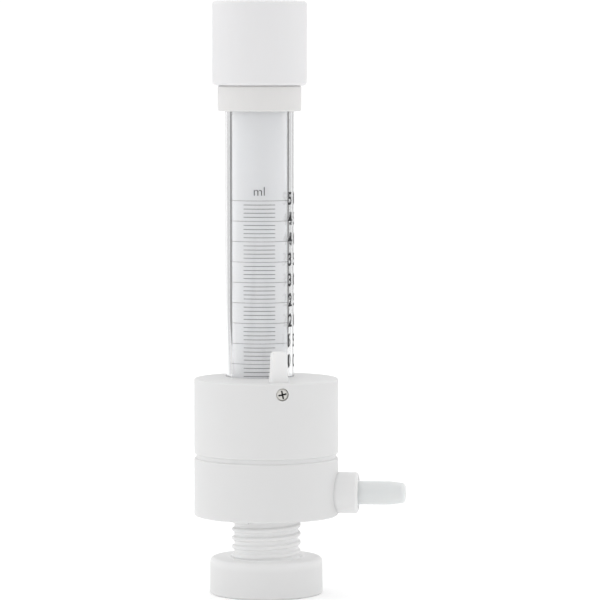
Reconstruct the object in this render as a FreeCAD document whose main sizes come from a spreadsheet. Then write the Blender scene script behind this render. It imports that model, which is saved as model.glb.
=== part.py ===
import FreeCAD, Part
import math
import os

import Sketcher
from FreeCAD import Placement, Rotation, Vector

# Bottle-top dosing dispenser: a plunger in a graduated glass barrel, standing on a round valve
# housing with a side outlet, whose threaded neck carries a screw-on bottle adapter.
# Millimetres. +Z is up along the neck, +X along the outlet, and z = 0 is the adapter's bottom rim.

os.makedirs("parts", exist_ok=True)
doc = FreeCAD.newDocument("dosing_dispenser")
sheet = doc.addObject("Spreadsheet::Sheet", "Sizes")

# Each independent size, written once, with what it is.
DRIVING = [
    ("line_angle", 108.4, "direction of the barrel from the body axis, degrees from +X"),
    ("barrel_offset", 13.4, "barrel axis from the body axis"),
    ("key_margin", 7.85, "priming key's axis inside the body's surface, opposite the barrel"),
    ("run_gap", 0.05, "radial running clearance of turning and sliding fits"),
    ("rest_gap", 0.03, "room between a ball and its seat at rest"),
    ("adapter_radius", 26.1, "bottle adapter, outside"),
    ("adapter_height", 16.9, "bottle adapter, height"),
    ("adapter_round", 2.3, "rounding of the adapter's top edge"),
    ("adapter_foot_round", 0.9, "rounding of the adapter's bottom edge"),
    ("mouth_radius", 22.9, "bottle thread's major radius in the adapter"),
    ("mouth_pilot", 3.2, "plain depth before the bottle thread"),
    ("pilot_play", 0.4, "plain pilot past the bottle thread's major radius"),
    ("web_thickness", 5.0, "adapter's top web"),
    ("bottle_ridge_depth", 1.4, "depth of the bottle thread's ridge"),
    ("gasket_thickness", 1.2, "flat gasket under the web"),
    ("gasket_radius", 22.0, "flat gasket, outside"),
    ("gasket_play", 0.7, "gasket bore past the neck thread's crest"),
    ("thread_pitch", 4.0, "pitch of the neck and bottle threads"),
    ("neck_crest", 15.95, "neck thread, crest radius"),
    ("neck_root", 14.8, "neck thread, root radius"),
    ("neck_ridge_base", 2.6, "width of the neck thread's ridge at its root"),
    ("neck_ridge_top", 1.3, "width of the neck thread's ridge at its crest"),
    ("thread_play", 0.3, "radial clearance between the two threads"),
    ("nut_ridge_base", 1.6, "width of the adapter's ridge at its root"),
    ("nut_ridge_top", 0.8, "width of the adapter's ridge at its crest"),
    ("neck_bottom", 11.1, "height of the neck's lower end"),
    ("ridge_level", 11.45, "height of the neck ridge's middle, carried round to the +X side"),
    ("ridge_turn", 135.0, "where the neck ridge starts, degrees from +X"),
    ("ridge_rise", 21.2, "height that the neck ridge climbs"),
    ("body_radius", 33.25, "valve block and upper housing, outside"),
    ("body_bottom", 36.15, "height of the valve block's bottom face"),
    ("body_top", 99.6, "height of the upper housing's top face"),
    ("body_foot_round", 0.9, "rounding of the valve block's bottom edge"),
    ("body_top_round", 0.8, "rounding of the upper housing's top edge"),
    ("groove_bottom", 62.95, "height of the joint groove's lower lip"),
    ("groove_top", 64.85, "height of the joint groove's upper lip"),
    ("groove_depth", 1.0, "depth of the joint groove"),
    ("groove_lip", 0.8, "rounding of the joint groove's upper lip"),
    ("groove_edge", 0.8, "rounding of the joint groove's lower lip"),
    ("spigot_wall", 5.25, "upper housing's wall round the spigot that centres it"),
    ("spigot_height", 4.15, "height of that spigot"),
    ("spigot_room", 0.3, "room over the spigot"),
    ("ring_inner", 10.5, "block gasket, inner radius"),
    ("ring_outer", 13.5, "block gasket, outer radius"),
    ("ring_depth", 1.7, "depth of the block gasket's groove"),
    ("duct_radius", 3.5, "main liquid duct"),
    ("duct_offset", 6.0, "rising duct from the body axis, towards the barrel"),
    ("pool_radius", 9.8, "recess that joins the two main ducts"),
    ("pool_depth", 1.3, "depth of that recess"),
    ("chamber_radius", 12.0, "chamber under the barrel"),
    ("chamber_bottom", 80.6, "height of that chamber's floor"),
    ("barrel_outer", 15.95, "glass barrel, outer radius"),
    ("barrel_bore", 13.0, "glass barrel, bore radius"),
    ("barrel_bottom", 85.6, "height of the barrel's lower end"),
    ("barrel_top", 231.6, "height of the barrel's upper end"),
    ("barrel_edge", 0.5, "fire-polished edges of the barrel"),
    ("seat_ring", 1.6, "thickness of the barrel's seat ring"),
    ("cord_radius", 1.25, "barrel seal ring, section radius"),
    ("cord_height", 93.6, "height of the barrel seal ring"),
    ("collar_radius", 19.4, "barrel collar, outside"),
    ("collar_bottom", 222.5, "height of the barrel collar's lower face"),
    ("collar_top", 234.3, "height of the barrel collar's upper face"),
    ("collar_round", 0.9, "rounding of the collar's edges"),
    ("guide_thickness", 1.7, "plunger guide ring, thickness"),
    ("guide_radius", 15.3, "plunger guide ring, outside"),
    ("lip_play", 0.35, "collar's lip past the barrel's bore"),
    ("piston_bottom", 87.35, "height of the piston's face at the lower stop"),
    ("piston_height", 9.25, "piston head, height"),
    ("piston_play", 0.4, "piston head inside the barrel's bore"),
    ("piston_chamfer", 1.2, "chamfer of the piston's face"),
    ("seal_height", 3.4, "piston seal, height"),
    ("seal_level", 2.3, "piston seal above the piston's face"),
    ("seal_floor", 10.8, "floor radius of the seal's groove"),
    ("tube_bore", 9.0, "plunger tube, bore radius"),
    ("tube_top", 240.6, "height of the plunger tube's upper end"),
    ("plug_height", 3.0, "piston head's plug in the tube"),
    ("rod_radius", 3.0, "plunger tie rod, radius"),
    ("rod_engage", 5.0, "tie rod's depth in the piston head"),
    ("cap_skin", 9.8, "grip cap over the tie rod's upper end"),
    ("cap_radius", 21.9, "grip cap, outside"),
    ("cap_bottom", 234.4, "height of the grip cap's lower face"),
    ("cap_top", 273.4, "height of the grip cap's upper face"),
    ("cap_round", 1.6, "rounding of the grip cap's edges"),
    ("outlet_height", 46.85, "height of the outlet axis"),
    ("boss_radius", 9.5, "outlet boss, outside"),
    ("boss_length", 9.6, "outlet boss, from the body's surface to its end"),
    ("boss_round", 1.6, "rounding of the boss's end"),
    ("outlet_duct", 3.0, "duct from the main bore to the outlet valve"),
    ("valve_bore", 6.5, "outlet valve's bore radius"),
    ("outlet_depth", 20.85, "outlet valve's bore, from the boss's end to the seat's back"),
    ("outlet_seat_length", 4.0, "outlet valve seat, length"),
    ("outlet_cone_start", 2.0, "outlet seat's cone, from the seat's back"),
    ("outlet_port", 1.8, "outlet seat's port radius"),
    ("outlet_ball_radius", 3.0, "outlet ball"),
    ("sleeve_length", 8.3, "outlet valve sleeve, length"),
    ("sleeve_bore", 4.6, "outlet valve sleeve, bore radius"),
    ("washer_thickness", 1.0, "nozzle washer, thickness"),
    ("washer_bore", 3.6, "nozzle washer, bore radius"),
    ("flange_length", 3.0, "nozzle flange, thickness"),
    ("nozzle_radius", 5.45, "outlet nozzle, outside"),
    ("nozzle_step", 0.35, "nozzle's radius in the boss past its free part"),
    ("nozzle_free", 21.85, "outlet nozzle, from the boss's end to its tip"),
    ("nozzle_bore", 2.4, "outlet nozzle, bore radius"),
    ("nozzle_orifice", 1.4, "outlet nozzle, orifice radius"),
    ("orifice_length", 4.0, "length of the orifice"),
    ("lead_length", 7.5, "nozzle's tapered lead-in, length"),
    ("lead_in", 0.6, "nozzle's tapered lead-in, radial taper"),
    ("nozzle_round", 2.3, "rounding of the nozzle's tip"),
    ("gland_radius", 7.6, "gland nut, outside"),
    ("gland_length", 3.9, "gland nut, thickness"),
    ("spanner_radius", 0.5, "gland nut's spanner holes"),
    ("spring_radius", 2.3, "outlet spring, coil radius"),
    ("wire_radius", 0.3, "outlet spring, wire radius"),
    ("spring_pitch", 1.5, "outlet spring, pitch"),
    ("intake_bore", 8.0, "intake valve's bore radius in the neck"),
    ("nipple_radius", 4.0, "suction nipple, outside"),
    ("nipple_bottom", 5.0, "height of the suction nipple's end"),
    ("nipple_bore", 2.0, "suction nipple, bore radius"),
    ("nipple_flange", 4.0, "suction nipple's plug in the neck, height"),
    ("nipple_chamfer", 0.6, "chamfer of the suction nipple's end"),
    ("intake_seat_height", 4.0, "intake valve seat, height"),
    ("intake_cone_start", 2.0, "intake seat's cone, above the seat's foot"),
    ("intake_port", 2.0, "intake seat's port radius"),
    ("intake_ball_radius", 3.175, "intake ball"),
    ("cage_bore", 4.4, "intake cage, bore radius"),
    ("cage_room", 5.7, "intake cage, depth of its bore"),
    ("cage_web", 2.0, "intake cage, top web"),
    ("cage_hole", 1.2, "holes in the intake cage's web"),
    ("cage_hole_circle", 2.9, "radius of the circle of those holes"),
    ("key_stem", 4.0, "priming key's stem radius"),
    ("key_stem_bottom", 74.6, "height of the stem's lower end"),
    ("key_bore_bottom", 74.1, "height of the key bore's floor"),
    ("key_base_width", 8.0, "priming key's blade, width at its foot"),
    ("key_top_width", 6.6, "priming key's blade, width at its top"),
    ("key_depth", 4.6, "priming key's blade, thickness"),
    ("key_top", 113.7, "height of the priming key's top"),
    ("key_round", 1.5, "rounding of the blade's top corners"),
    ("key_groove_floor", 2.9, "floor radius of the stem's stop groove"),
    ("key_groove_height", 3.6, "height of the stem's stop groove"),
    ("key_duct", 1.5, "priming duct radius"),
    ("key_duct_height", 77.6, "height of the priming duct"),
    ("stem_ring_radius", 0.9, "stem seal ring, section radius"),
    ("stem_ring_height", 88.1, "height of the stem seal ring"),
    ("screw_drop", 4.9, "key screw's axis under the upper housing's top face"),
    ("screw_shank", 1.5, "key screw, shank radius"),
    ("screw_tip_room", 0.25, "room between the key screw's tip and the groove's floor"),
    ("screw_head", 2.75, "key screw, head radius"),
    ("screw_head_height", 1.8, "key screw, head thickness"),
    ("screw_recess", 0.1, "key screw's head under the body's surface"),
    ("screw_well", 0.15, "room around the key screw's head"),
    ("cross_width", 0.75, "width of the cross recess"),
    ("cross_length", 3.9, "length of the cross recess"),
    ("cross_depth", 1.1, "depth of the cross recess"),
    ("return_radius", 1.5, "return tube, outside"),
    ("return_bore", 0.9, "return tube, bore radius"),
    ("return_bottom", 61.6, "height of the return tube's lower end"),
    ("return_knee", 39.6, "height where the return duct meets the neck's"),
    ("return_offset", 11.2, "return duct in the neck's wall, from the body axis"),
    ("tie_margin", 9.25, "housing screws' axes inside the body's surface"),
    ("tie_angle", 60.0, "first housing screw, degrees from +X"),
    ("tie_shank", 2.0, "housing screw, shank radius"),
    ("tie_head", 3.5, "housing screw, head radius"),
    ("tie_head_height", 3.2, "housing screw, head thickness"),
    ("tie_sink", 4.0, "depth of the housing screw's well"),
    ("tie_top", 75.6, "height of the housing screw's tip"),
    ("tie_play", 0.25, "room around the housing screw"),
    ("tie_slot", 1.3, "housing screw, half width of its hexagonal recess"),
]

VALUES = {}
for row, (alias, value, words) in enumerate(DRIVING, start=1):
    sheet.set("A%d" % row, words)
    sheet.set("B%d" % row, repr(value))
    sheet.setAlias("B%d" % row, alias)
    VALUES[alias] = value
doc.recompute()


class Size:
    """A length or angle with the sheet expression that gives it."""

    def __init__(self, value, text):
        self.value = float(value)
        self.text = text

    def __add__(self, other):
        other = size(other)
        return Size(self.value + other.value, "(%s + %s)" % (self.text, other.text))

    def __sub__(self, other):
        other = size(other)
        return Size(self.value - other.value, "(%s - %s)" % (self.text, other.text))

    def __mul__(self, other):
        other = size(other)
        return Size(self.value * other.value, "(%s * %s)" % (self.text, other.text))

    def __truediv__(self, other):
        other = size(other)
        return Size(self.value / other.value, "(%s / %s)" % (self.text, other.text))

    def cos(self):
        return Size(math.cos(math.radians(self.value)), "cos(%s * 1deg)" % self.text)

    def sin(self):
        return Size(math.sin(math.radians(self.value)), "sin(%s * 1deg)" % self.text)


def size(value):
    return value if isinstance(value, Size) else Size(value, repr(float(value)))


def S(alias):
    return Size(VALUES[alias], "Sizes.%s" % alias)


ZERO = size(0.0)
ROOT2 = size(math.sqrt(2.0))


def bind(obj, prop, value):
    """Set a property to a size and bind it to the sheet."""
    if value.text != repr(value.value):
        obj.setExpression(prop, value.text)


def put(obj, x=ZERO, y=ZERO, z=ZERO, rotation=None):
    """Place an object, with its position bound to the sheet."""
    obj.Placement = Placement(Vector(x.value, y.value, z.value), rotation or Rotation())
    for name, value in (("x", x), ("y", y), ("z", z)):
        bind(obj, "Placement.Base.%s" % name, value)
    return obj


def fix_point(sketch, geometry, end, x, y):
    """Hold a sketch point at bound coordinates."""
    for kind, value, axis in (("DistanceX", x, -2), ("DistanceY", y, -1)):
        if abs(value.value) < 1e-9:
            sketch.addConstraint(Sketcher.Constraint("PointOnObject", geometry, end, axis))
            continue
        index = sketch.addConstraint(Sketcher.Constraint(kind, geometry, end, value.value))
        if value.text != repr(value.value):
            sketch.setExpression("Constraints[%d]" % index, value.text)


def outline(body, name, points):
    """A closed sketch outline in the body's XZ plane.

    Each point is (across, up) or (across, up, rounding). A rounded corner joins a level edge
    and an upright one.
    """
    sketch = body.newObject("Sketcher::SketchObject", name)
    plane = [f for f in body.Origin.OriginFeatures if f.Role == "XZ_Plane"][0]
    sketch.AttachmentSupport = (plane, [""])
    sketch.MapMode = "FlatFace"
    corners = []
    count = len(points)
    for i, point in enumerate(points):
        x, y = size(point[0]), size(point[1])
        if len(point) == 2:
            corners.append([(x, y)])
            continue
        r = size(point[2])
        before, after = points[i - 1], points[(i + 1) % count]
        ends = []
        for other in (before, after):
            dx = size(other[0]).value - x.value
            dy = size(other[1]).value - y.value
            if abs(dx) > abs(dy):
                ends.append((x + r if dx > 0 else x - r, y))
            else:
                ends.append((x, y + r if dy > 0 else y - r))
        corners.append([ends[0], ends[1], (x, y), r])

    def flat(pair):
        return Vector(pair[0].value, pair[1].value, 0)

    first = None
    last = None
    for i, corner in enumerate(corners):
        if len(corner) == 4:
            start, end = flat(corner[0]), flat(corner[1])
            apex = flat(corner[2])
            centre = start + end - apex
            out = apex - centre
            middle = centre + out * (corner[3].value / out.Length)
            arc = sketch.addGeometry(Part.Arc(start, middle, end), False)
            turn = (end - start).cross(middle - start).z
            first_end, second_end = (1, 2) if turn < 0 else (2, 1)
            fix_point(sketch, arc, first_end, corner[0][0], corner[0][1])
            fix_point(sketch, arc, second_end, corner[1][0], corner[1][1])
            index = sketch.addConstraint(Sketcher.Constraint("Radius", arc, corner[3].value))
            if corner[3].text != repr(corner[3].value):
                sketch.setExpression("Constraints[%d]" % index, corner[3].text)
            if last is not None:
                sketch.addConstraint(Sketcher.Constraint("Coincident", last[0], last[1], arc, first_end))
            if first is None:
                first = (arc, first_end)
            last = (arc, second_end)
            here = corner[1]
        else:
            here = corner[0]
        after = corners[(i + 1) % len(corners)][0]
        line = sketch.addGeometry(Part.LineSegment(flat(here), flat(after)), False)
        if last is not None:
            sketch.addConstraint(Sketcher.Constraint("Coincident", last[0], last[1], line, 1))
        if len(corner) == 1:
            fix_point(sketch, line, 1, here[0], here[1])
        if first is None:
            first = (line, 1)
        last = (line, 2)
    sketch.addConstraint(Sketcher.Constraint("Coincident", last[0], last[1], first[0], first[1]))
    return sketch


def turned(label, points):
    """A solid of revolution about Z from a closed (radius, height) outline."""
    body = doc.addObject("PartDesign::Body", label)
    sketch = outline(body, label + "_outline", points)
    turn = body.newObject("PartDesign::Revolution", label + "_turn")
    turn.Profile = sketch
    turn.ReferenceAxis = (sketch, ["V_Axis"])
    turn.Angle = 360.0
    sketch.Visibility = False
    return body


def cylinder(name, radius, height, x=ZERO, y=ZERO, z=ZERO, rotation=None):
    item = doc.addObject("Part::Cylinder", name)
    item.Radius = radius.value
    item.Height = height.value
    bind(item, "Radius", radius)
    bind(item, "Height", height)
    return put(item, x, y, z, rotation)


def box(name, length, width, height, x=ZERO, y=ZERO, z=ZERO, rotation=None):
    item = doc.addObject("Part::Box", name)
    for prop, value in (("Length", length), ("Width", width), ("Height", height)):
        setattr(item, prop, value.value)
        bind(item, prop, value)
    return put(item, x, y, z, rotation)


def fuse(label, shapes):
    item = doc.addObject("Part::MultiFuse", label)
    item.Shapes = shapes
    return item


def join(label, base, tool):
    item = doc.addObject("Part::Fuse", label)
    item.Base = base
    item.Tool = tool
    return item


def cut(label, base, tools):
    tool = tools[0] if len(tools) == 1 else fuse(label + "_hollows", tools)
    item = doc.addObject("Part::Cut", label)
    item.Base = base
    item.Tool = tool
    return item


def helix_ridge(name, radius, pitch, rise, points, start=ZERO):
    """A ridge swept along a right-hand helix that starts on the +X side at height start."""
    path = doc.addObject("Part::Helix", name + "_path")
    for prop, value in (("Radius", radius), ("Pitch", pitch), ("Height", rise)):
        setattr(path, prop, value.value)
        bind(path, prop, value)
    put(path, ZERO, ZERO, start)
    body = doc.addObject("PartDesign::Body", name + "_section_body")
    section = outline(body, name + "_section", points)
    sweep = doc.addObject("Part::Sweep", name)
    sweep.Sections = [section]
    sweep.Spine = (path, [])
    sweep.Solid = True
    sweep.Frenet = True
    return sweep


LINE = S("line_angle")
KEY_OFFSET = S("body_radius") - S("key_margin")
TIE_CIRCLE = S("body_radius") - S("tie_margin")
SPIGOT_RADIUS = S("body_radius") - S("spigot_wall")
BOSS_END = S("body_radius") + S("boss_length")
SEAT_START = BOSS_END - S("outlet_depth")
NOZZLE_END = BOSS_END + S("nozzle_free")
BARREL_X = S("barrel_offset") * LINE.cos()
BARREL_Y = S("barrel_offset") * LINE.sin()
KEY_X = ZERO - KEY_OFFSET * LINE.cos()
KEY_Y = ZERO - KEY_OFFSET * LINE.sin()
DUCT_X = S("duct_offset") * LINE.cos()
DUCT_Y = S("duct_offset") * LINE.sin()
BACK_X = ZERO - S("return_offset") * LINE.cos()
BACK_Y = ZERO - S("return_offset") * LINE.sin()
ACROSS = Rotation(Vector(0, 1, 0), 90)
# Local +Z of this rotation points outwards along the key's line.
OUTWARD = Rotation(Vector(0, 0, 1), VALUES["line_angle"] - 180.0).multiply(ACROSS)
NODES = []


def node(item, label):
    item.Label = label
    NODES.append((label, item))
    return item


# Plunger and grip cap, on the barrel's axis.
piston_top = S("piston_bottom") + S("piston_height")
piston_radius = S("barrel_bore") - S("piston_play")
tube_radius = S("barrel_bore") - S("run_gap")
seal_foot = S("piston_bottom") + S("seal_level")
plug_top = piston_top + S("plug_height")
rod_foot = plug_top - S("rod_engage")
rod_top = S("cap_top") - S("cap_skin")

cap = turned("grip_cap_turned", [
    (S("rod_radius"), S("tube_top")),
    (tube_radius, S("tube_top")),
    (tube_radius, S("cap_bottom")),
    (S("cap_radius"), S("cap_bottom"), S("cap_round")),
    (S("cap_radius"), S("cap_top"), S("cap_round")),
    (ZERO, S("cap_top")),
    (ZERO, rod_top),
    (S("rod_radius"), rod_top),
])
node(put(cap, BARREL_X, BARREL_Y), "grip_cap")

tube = turned("plunger_tube_turned", [
    (S("tube_bore"), piston_top),
    (tube_radius, piston_top),
    (tube_radius, S("tube_top")),
    (S("tube_bore"), S("tube_top")),
])
node(put(tube, BARREL_X, BARREL_Y), "plunger_tube")

rod = turned("plunger_rod_turned", [
    (ZERO, rod_foot),
    (S("rod_radius"), rod_foot),
    (S("rod_radius"), rod_top),
    (ZERO, rod_top),
])
node(put(rod, BARREL_X, BARREL_Y), "plunger_rod")

piston = turned("piston_head_turned", [
    (ZERO, S("piston_bottom")),
    (piston_radius - S("piston_chamfer"), S("piston_bottom")),
    (piston_radius, S("piston_bottom") + S("piston_chamfer")),
    (piston_radius, seal_foot),
    (S("seal_floor"), seal_foot),
    (S("seal_floor"), seal_foot + S("seal_height")),
    (piston_radius, seal_foot + S("seal_height")),
    (piston_radius, piston_top),
    (S("tube_bore"), piston_top),
    (S("tube_bore"), plug_top),
    (S("rod_radius"), plug_top),
    (S("rod_radius"), rod_foot),
    (ZERO, rod_foot),
])
node(put(piston, BARREL_X, BARREL_Y), "piston_head")

seal_rim = S("barrel_bore") - S("run_gap")
seal = turned("piston_seal_turned", [
    (S("seal_floor"), seal_foot),
    (seal_rim, seal_foot, 0.5),
    (seal_rim, seal_foot + S("seal_height"), 0.5),
    (S("seal_floor"), seal_foot + S("seal_height")),
])
node(put(seal, BARREL_X, BARREL_Y), "piston_seal")

# Glass barrel with its seat ring, seal ring, collar and guide ring.
barrel = turned("barrel_turned", [
    (S("barrel_bore"), S("barrel_bottom"), S("barrel_edge")),
    (S("barrel_outer"), S("barrel_bottom"), S("barrel_edge")),
    (S("barrel_outer"), S("barrel_top"), S("barrel_edge")),
    (S("barrel_bore"), S("barrel_top"), S("barrel_edge")),
])
node(put(barrel, BARREL_X, BARREL_Y), "barrel")

socket_floor = S("barrel_bottom") - S("seat_ring")
seat_ring = turned("barrel_seat_turned", [
    (S("barrel_bore"), socket_floor),
    (S("barrel_outer"), socket_floor),
    (S("barrel_outer"), S("barrel_bottom")),
    (S("barrel_bore"), S("barrel_bottom")),
])
node(put(seat_ring, BARREL_X, BARREL_Y), "barrel_seat")

cord_middle = S("barrel_outer") + S("cord_radius")
cord = doc.addObject("Part::Torus", "barrel_seal_ring_torus")
cord.Radius1 = cord_middle.value
cord.Radius2 = VALUES["cord_radius"]
bind(cord, "Radius1", cord_middle)
bind(cord, "Radius2", S("cord_radius"))
node(put(cord, BARREL_X, BARREL_Y, S("cord_height")), "barrel_seal_ring")

guide_top = S("barrel_top") + S("guide_thickness")
lip_radius = S("barrel_bore") + S("lip_play")
collar = turned("barrel_collar_turned", [
    (S("barrel_outer"), S("collar_bottom")),
    (S("collar_radius"), S("collar_bottom"), S("collar_round")),
    (S("collar_radius"), S("collar_top"), S("collar_round")),
    (lip_radius, S("collar_top")),
    (lip_radius, guide_top),
    (S("guide_radius"), guide_top),
    (S("guide_radius"), S("barrel_top")),
    (S("barrel_outer"), S("barrel_top")),
])
node(put(collar, BARREL_X, BARREL_Y), "barrel_collar")

guide = turned("guide_ring_turned", [
    (S("barrel_bore"), S("barrel_top")),
    (S("guide_radius"), S("barrel_top")),
    (S("guide_radius"), guide_top),
    (S("barrel_bore"), guide_top),
])
node(put(guide, BARREL_X, BARREL_Y), "guide_ring")

# Upper housing: carries the barrel and the priming key.
ceiling = S("groove_top") + S("spigot_height") + S("spigot_room")
key_bore = S("key_stem") + S("run_gap")
housing = turned("upper_housing_turned", [
    (ZERO, ceiling),
    (SPIGOT_RADIUS + S("run_gap"), ceiling),
    (SPIGOT_RADIUS + S("run_gap"), S("groove_top")),
    (S("body_radius"), S("groove_top"), S("groove_lip")),
    (S("body_radius"), S("body_top"), S("body_top_round")),
    (ZERO, S("body_top")),
])
hollows = [
    cylinder("socket", S("barrel_outer") + S("run_gap"), S("body_top") - socket_floor + 1.0,
             BARREL_X, BARREL_Y, socket_floor),
    cylinder("seal_groove", S("barrel_outer") + S("cord_radius") * 2.0,
             S("cord_radius") * 2.0, BARREL_X, BARREL_Y, S("cord_height") - S("cord_radius")),
    cylinder("chamber", S("chamber_radius"), socket_floor - S("chamber_bottom") + 0.5,
             BARREL_X, BARREL_Y, S("chamber_bottom")),
    cylinder("rising_duct", S("duct_radius"), S("chamber_bottom") - ceiling + 2.0,
             DUCT_X, DUCT_Y, ceiling - 1.0),
    cylinder("pool", S("pool_radius"), S("pool_depth") + 1.0, ZERO, ZERO, ceiling - 1.0),
    cylinder("key_bore", key_bore, S("body_top") - S("key_bore_bottom") + 1.0,
             KEY_X, KEY_Y, S("key_bore_bottom")),
    cylinder("stem_groove", S("key_stem") + S("stem_ring_radius") * 2.0,
             S("stem_ring_radius") * 2.0, KEY_X, KEY_Y, S("stem_ring_height") - S("stem_ring_radius")),
    cylinder("return_hole", S("return_radius"), S("key_bore_bottom") - ceiling + 1.5,
             KEY_X, KEY_Y, ceiling - 1.0),
    cylinder("priming_duct", S("key_duct"), KEY_OFFSET + S("duct_offset"),
             DUCT_X, DUCT_Y, S("key_duct_height"), OUTWARD),
]
screw_height = S("body_top") - S("screw_drop")
screw_tip = KEY_OFFSET + S("key_groove_floor") + S("screw_tip_room")
screw_face = S("body_radius") - S("screw_recess")
screw_under = screw_face - S("screw_head_height")
hollows.append(cylinder("screw_hole", S("screw_shank"), S("body_radius") - KEY_OFFSET,
                        KEY_X, KEY_Y, screw_height, OUTWARD))
hollows.append(cylinder("screw_well", S("screw_head") + S("screw_well"), size(6.0),
                        ZERO - screw_under * LINE.cos(), ZERO - screw_under * LINE.sin(),
                        screw_height, OUTWARD))
tie_places = []
for number in range(4):
    angle = S("tie_angle") + 90.0 * number
    tie_places.append((TIE_CIRCLE * angle.cos(), TIE_CIRCLE * angle.sin()))
    hollows.append(cylinder("tie_hole_%d" % (number + 1), S("tie_shank"),
                            S("tie_top") - ceiling + 1.0, tie_places[-1][0], tie_places[-1][1],
                            ceiling - 1.0))
node(cut("upper_housing_cut", housing, hollows), "upper_housing")

# Valve block: groove spigot, outlet boss, threaded neck and the valve bores.
deck = S("groove_top") + S("spigot_height")
step = S("body_radius") - S("groove_depth")
cartridge_top = (S("neck_bottom") + S("nipple_flange") + S("intake_seat_height")
                 + S("cage_room") + S("cage_web"))
ring_floor = deck - S("ring_depth")
block = turned("valve_block_turned", [
    (S("duct_radius"), cartridge_top),
    (S("intake_bore"), cartridge_top),
    (S("intake_bore"), S("neck_bottom")),
    (S("neck_root") - 0.6, S("neck_bottom")),
    (S("neck_root"), S("neck_bottom") + 0.6),
    (S("neck_root"), S("body_bottom")),
    (S("body_radius"), S("body_bottom"), S("body_foot_round")),
    (S("body_radius"), S("groove_bottom"), S("groove_edge")),
    (step, S("groove_bottom")),
    (step, S("groove_top")),
    (SPIGOT_RADIUS, S("groove_top")),
    (SPIGOT_RADIUS, deck),
    (S("ring_outer"), deck),
    (S("ring_outer"), ring_floor),
    (S("ring_inner"), ring_floor),
    (S("ring_inner"), deck),
    (S("duct_radius"), deck),
])
boss_start = SEAT_START - 2.0
boss = turned("boss_turned", [
    (ZERO, boss_start),
    (S("boss_radius"), boss_start),
    (S("boss_radius"), BOSS_END, S("boss_round")),
    (ZERO, BOSS_END),
])
put(boss, ZERO, ZERO, S("outlet_height"), ACROSS)
ridge_half = S("neck_ridge_base") / 2.0 + 0.15
crest_half = S("neck_ridge_top") / 2.0
sunk = S("neck_root") - 0.25
ridge_start = S("ridge_level") + S("thread_pitch") * S("ridge_turn") / 360.0
neck_ridge = helix_ridge("neck_ridge", S("neck_root"), S("thread_pitch"), S("ridge_rise"), [
    (sunk, ridge_start - ridge_half),
    (S("neck_crest") - 0.15, ridge_start - crest_half),
    (S("neck_crest"), ridge_start - crest_half * 0.55),
    (S("neck_crest"), ridge_start + crest_half * 0.55),
    (S("neck_crest") - 0.15, ridge_start + crest_half),
    (sunk, ridge_start + ridge_half),
], ridge_start)
put(neck_ridge, ZERO, ZERO, ZERO, Rotation(Vector(0, 0, 1), VALUES["ridge_turn"]))
stack_start = SEAT_START
seat_end = stack_start + S("outlet_seat_length")
sleeve_end = seat_end + S("sleeve_length")
washer_end = sleeve_end + S("washer_thickness")
flange_end = washer_end + S("flange_length")
gland_end = flange_end + S("gland_length")
hollows = [
    cylinder("outlet_duct", S("outlet_duct"), stack_start + 0.5, ZERO, ZERO, S("outlet_height"), ACROSS),
    cylinder("valve_bore", S("valve_bore"), flange_end - stack_start, stack_start, ZERO,
             S("outlet_height"), ACROSS),
    cylinder("gland_bore", S("gland_radius"), BOSS_END - flange_end + 1.0, flange_end, ZERO,
             S("outlet_height"), ACROSS),
    cylinder("return_socket", S("return_radius"), deck - S("return_bottom") + 1.0, KEY_X, KEY_Y,
             S("return_bottom")),
    cylinder("return_neck", S("return_bore"), S("return_knee") - S("neck_bottom") + 1.3,
             BACK_X, BACK_Y, S("neck_bottom") - 1.0),
]
slope_rise = VALUES["return_bottom"] - VALUES["return_knee"]
slope_run = KEY_OFFSET.value - VALUES["return_offset"]
slope_turn = Rotation(Vector(0, 0, 1), VALUES["line_angle"] - 180.0).multiply(
    Rotation(Vector(0, 1, 0), math.degrees(math.atan2(slope_run, slope_rise))))
hollows.append(cylinder("return_slope", S("return_bore"), size(math.hypot(slope_rise, slope_run) + 0.6),
                        BACK_X, BACK_Y, S("return_knee"), slope_turn))
for number, place in enumerate(tie_places, start=1):
    hollows.append(cylinder("tie_way_%d" % number, S("tie_shank") + S("tie_play"),
                            deck - S("body_bottom") + 2.0, place[0], place[1], S("body_bottom") - 1.0))
    hollows.append(cylinder("tie_well_%d" % number, S("tie_head") + S("tie_play"), S("tie_sink") + 1.0,
                            place[0], place[1], S("body_bottom") - 1.0))
block_solid = join("valve_block_solid", block, boss)
block_bored = cut("valve_block_bored", block_solid, hollows)
node(join("valve_block_threaded", block_bored, neck_ridge), "valve_block")

block_ring = turned("block_gasket_turned", [
    (S("ring_inner"), ring_floor),
    (S("ring_outer"), ring_floor),
    (S("ring_outer"), ceiling),
    (S("ring_inner"), ceiling),
])
node(block_ring, "block_gasket")

for number, place in enumerate(tie_places, start=1):
    foot = S("body_bottom") + S("tie_sink")
    screw = turned("tie_turned_%d" % number, [
        (ZERO, foot - S("tie_head_height")),
        (S("tie_head"), foot - S("tie_head_height")),
        (S("tie_head"), foot),
        (S("tie_shank"), foot),
        (S("tie_shank"), S("tie_top")),
        (ZERO, S("tie_top")),
    ])
    put(screw, place[0], place[1])
    recess = doc.addObject("Part::Prism", "tie_recess_%d" % number)
    recess.Polygon = 6
    recess.Circumradius = VALUES["tie_slot"]
    recess.Height = 2.8
    bind(recess, "Circumradius", S("tie_slot"))
    put(recess, place[0], place[1], foot - S("tie_head_height") - 1.0)
    node(cut("tie_cut_%d" % number, screw, [recess]), "housing_screw_%d" % number)

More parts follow.
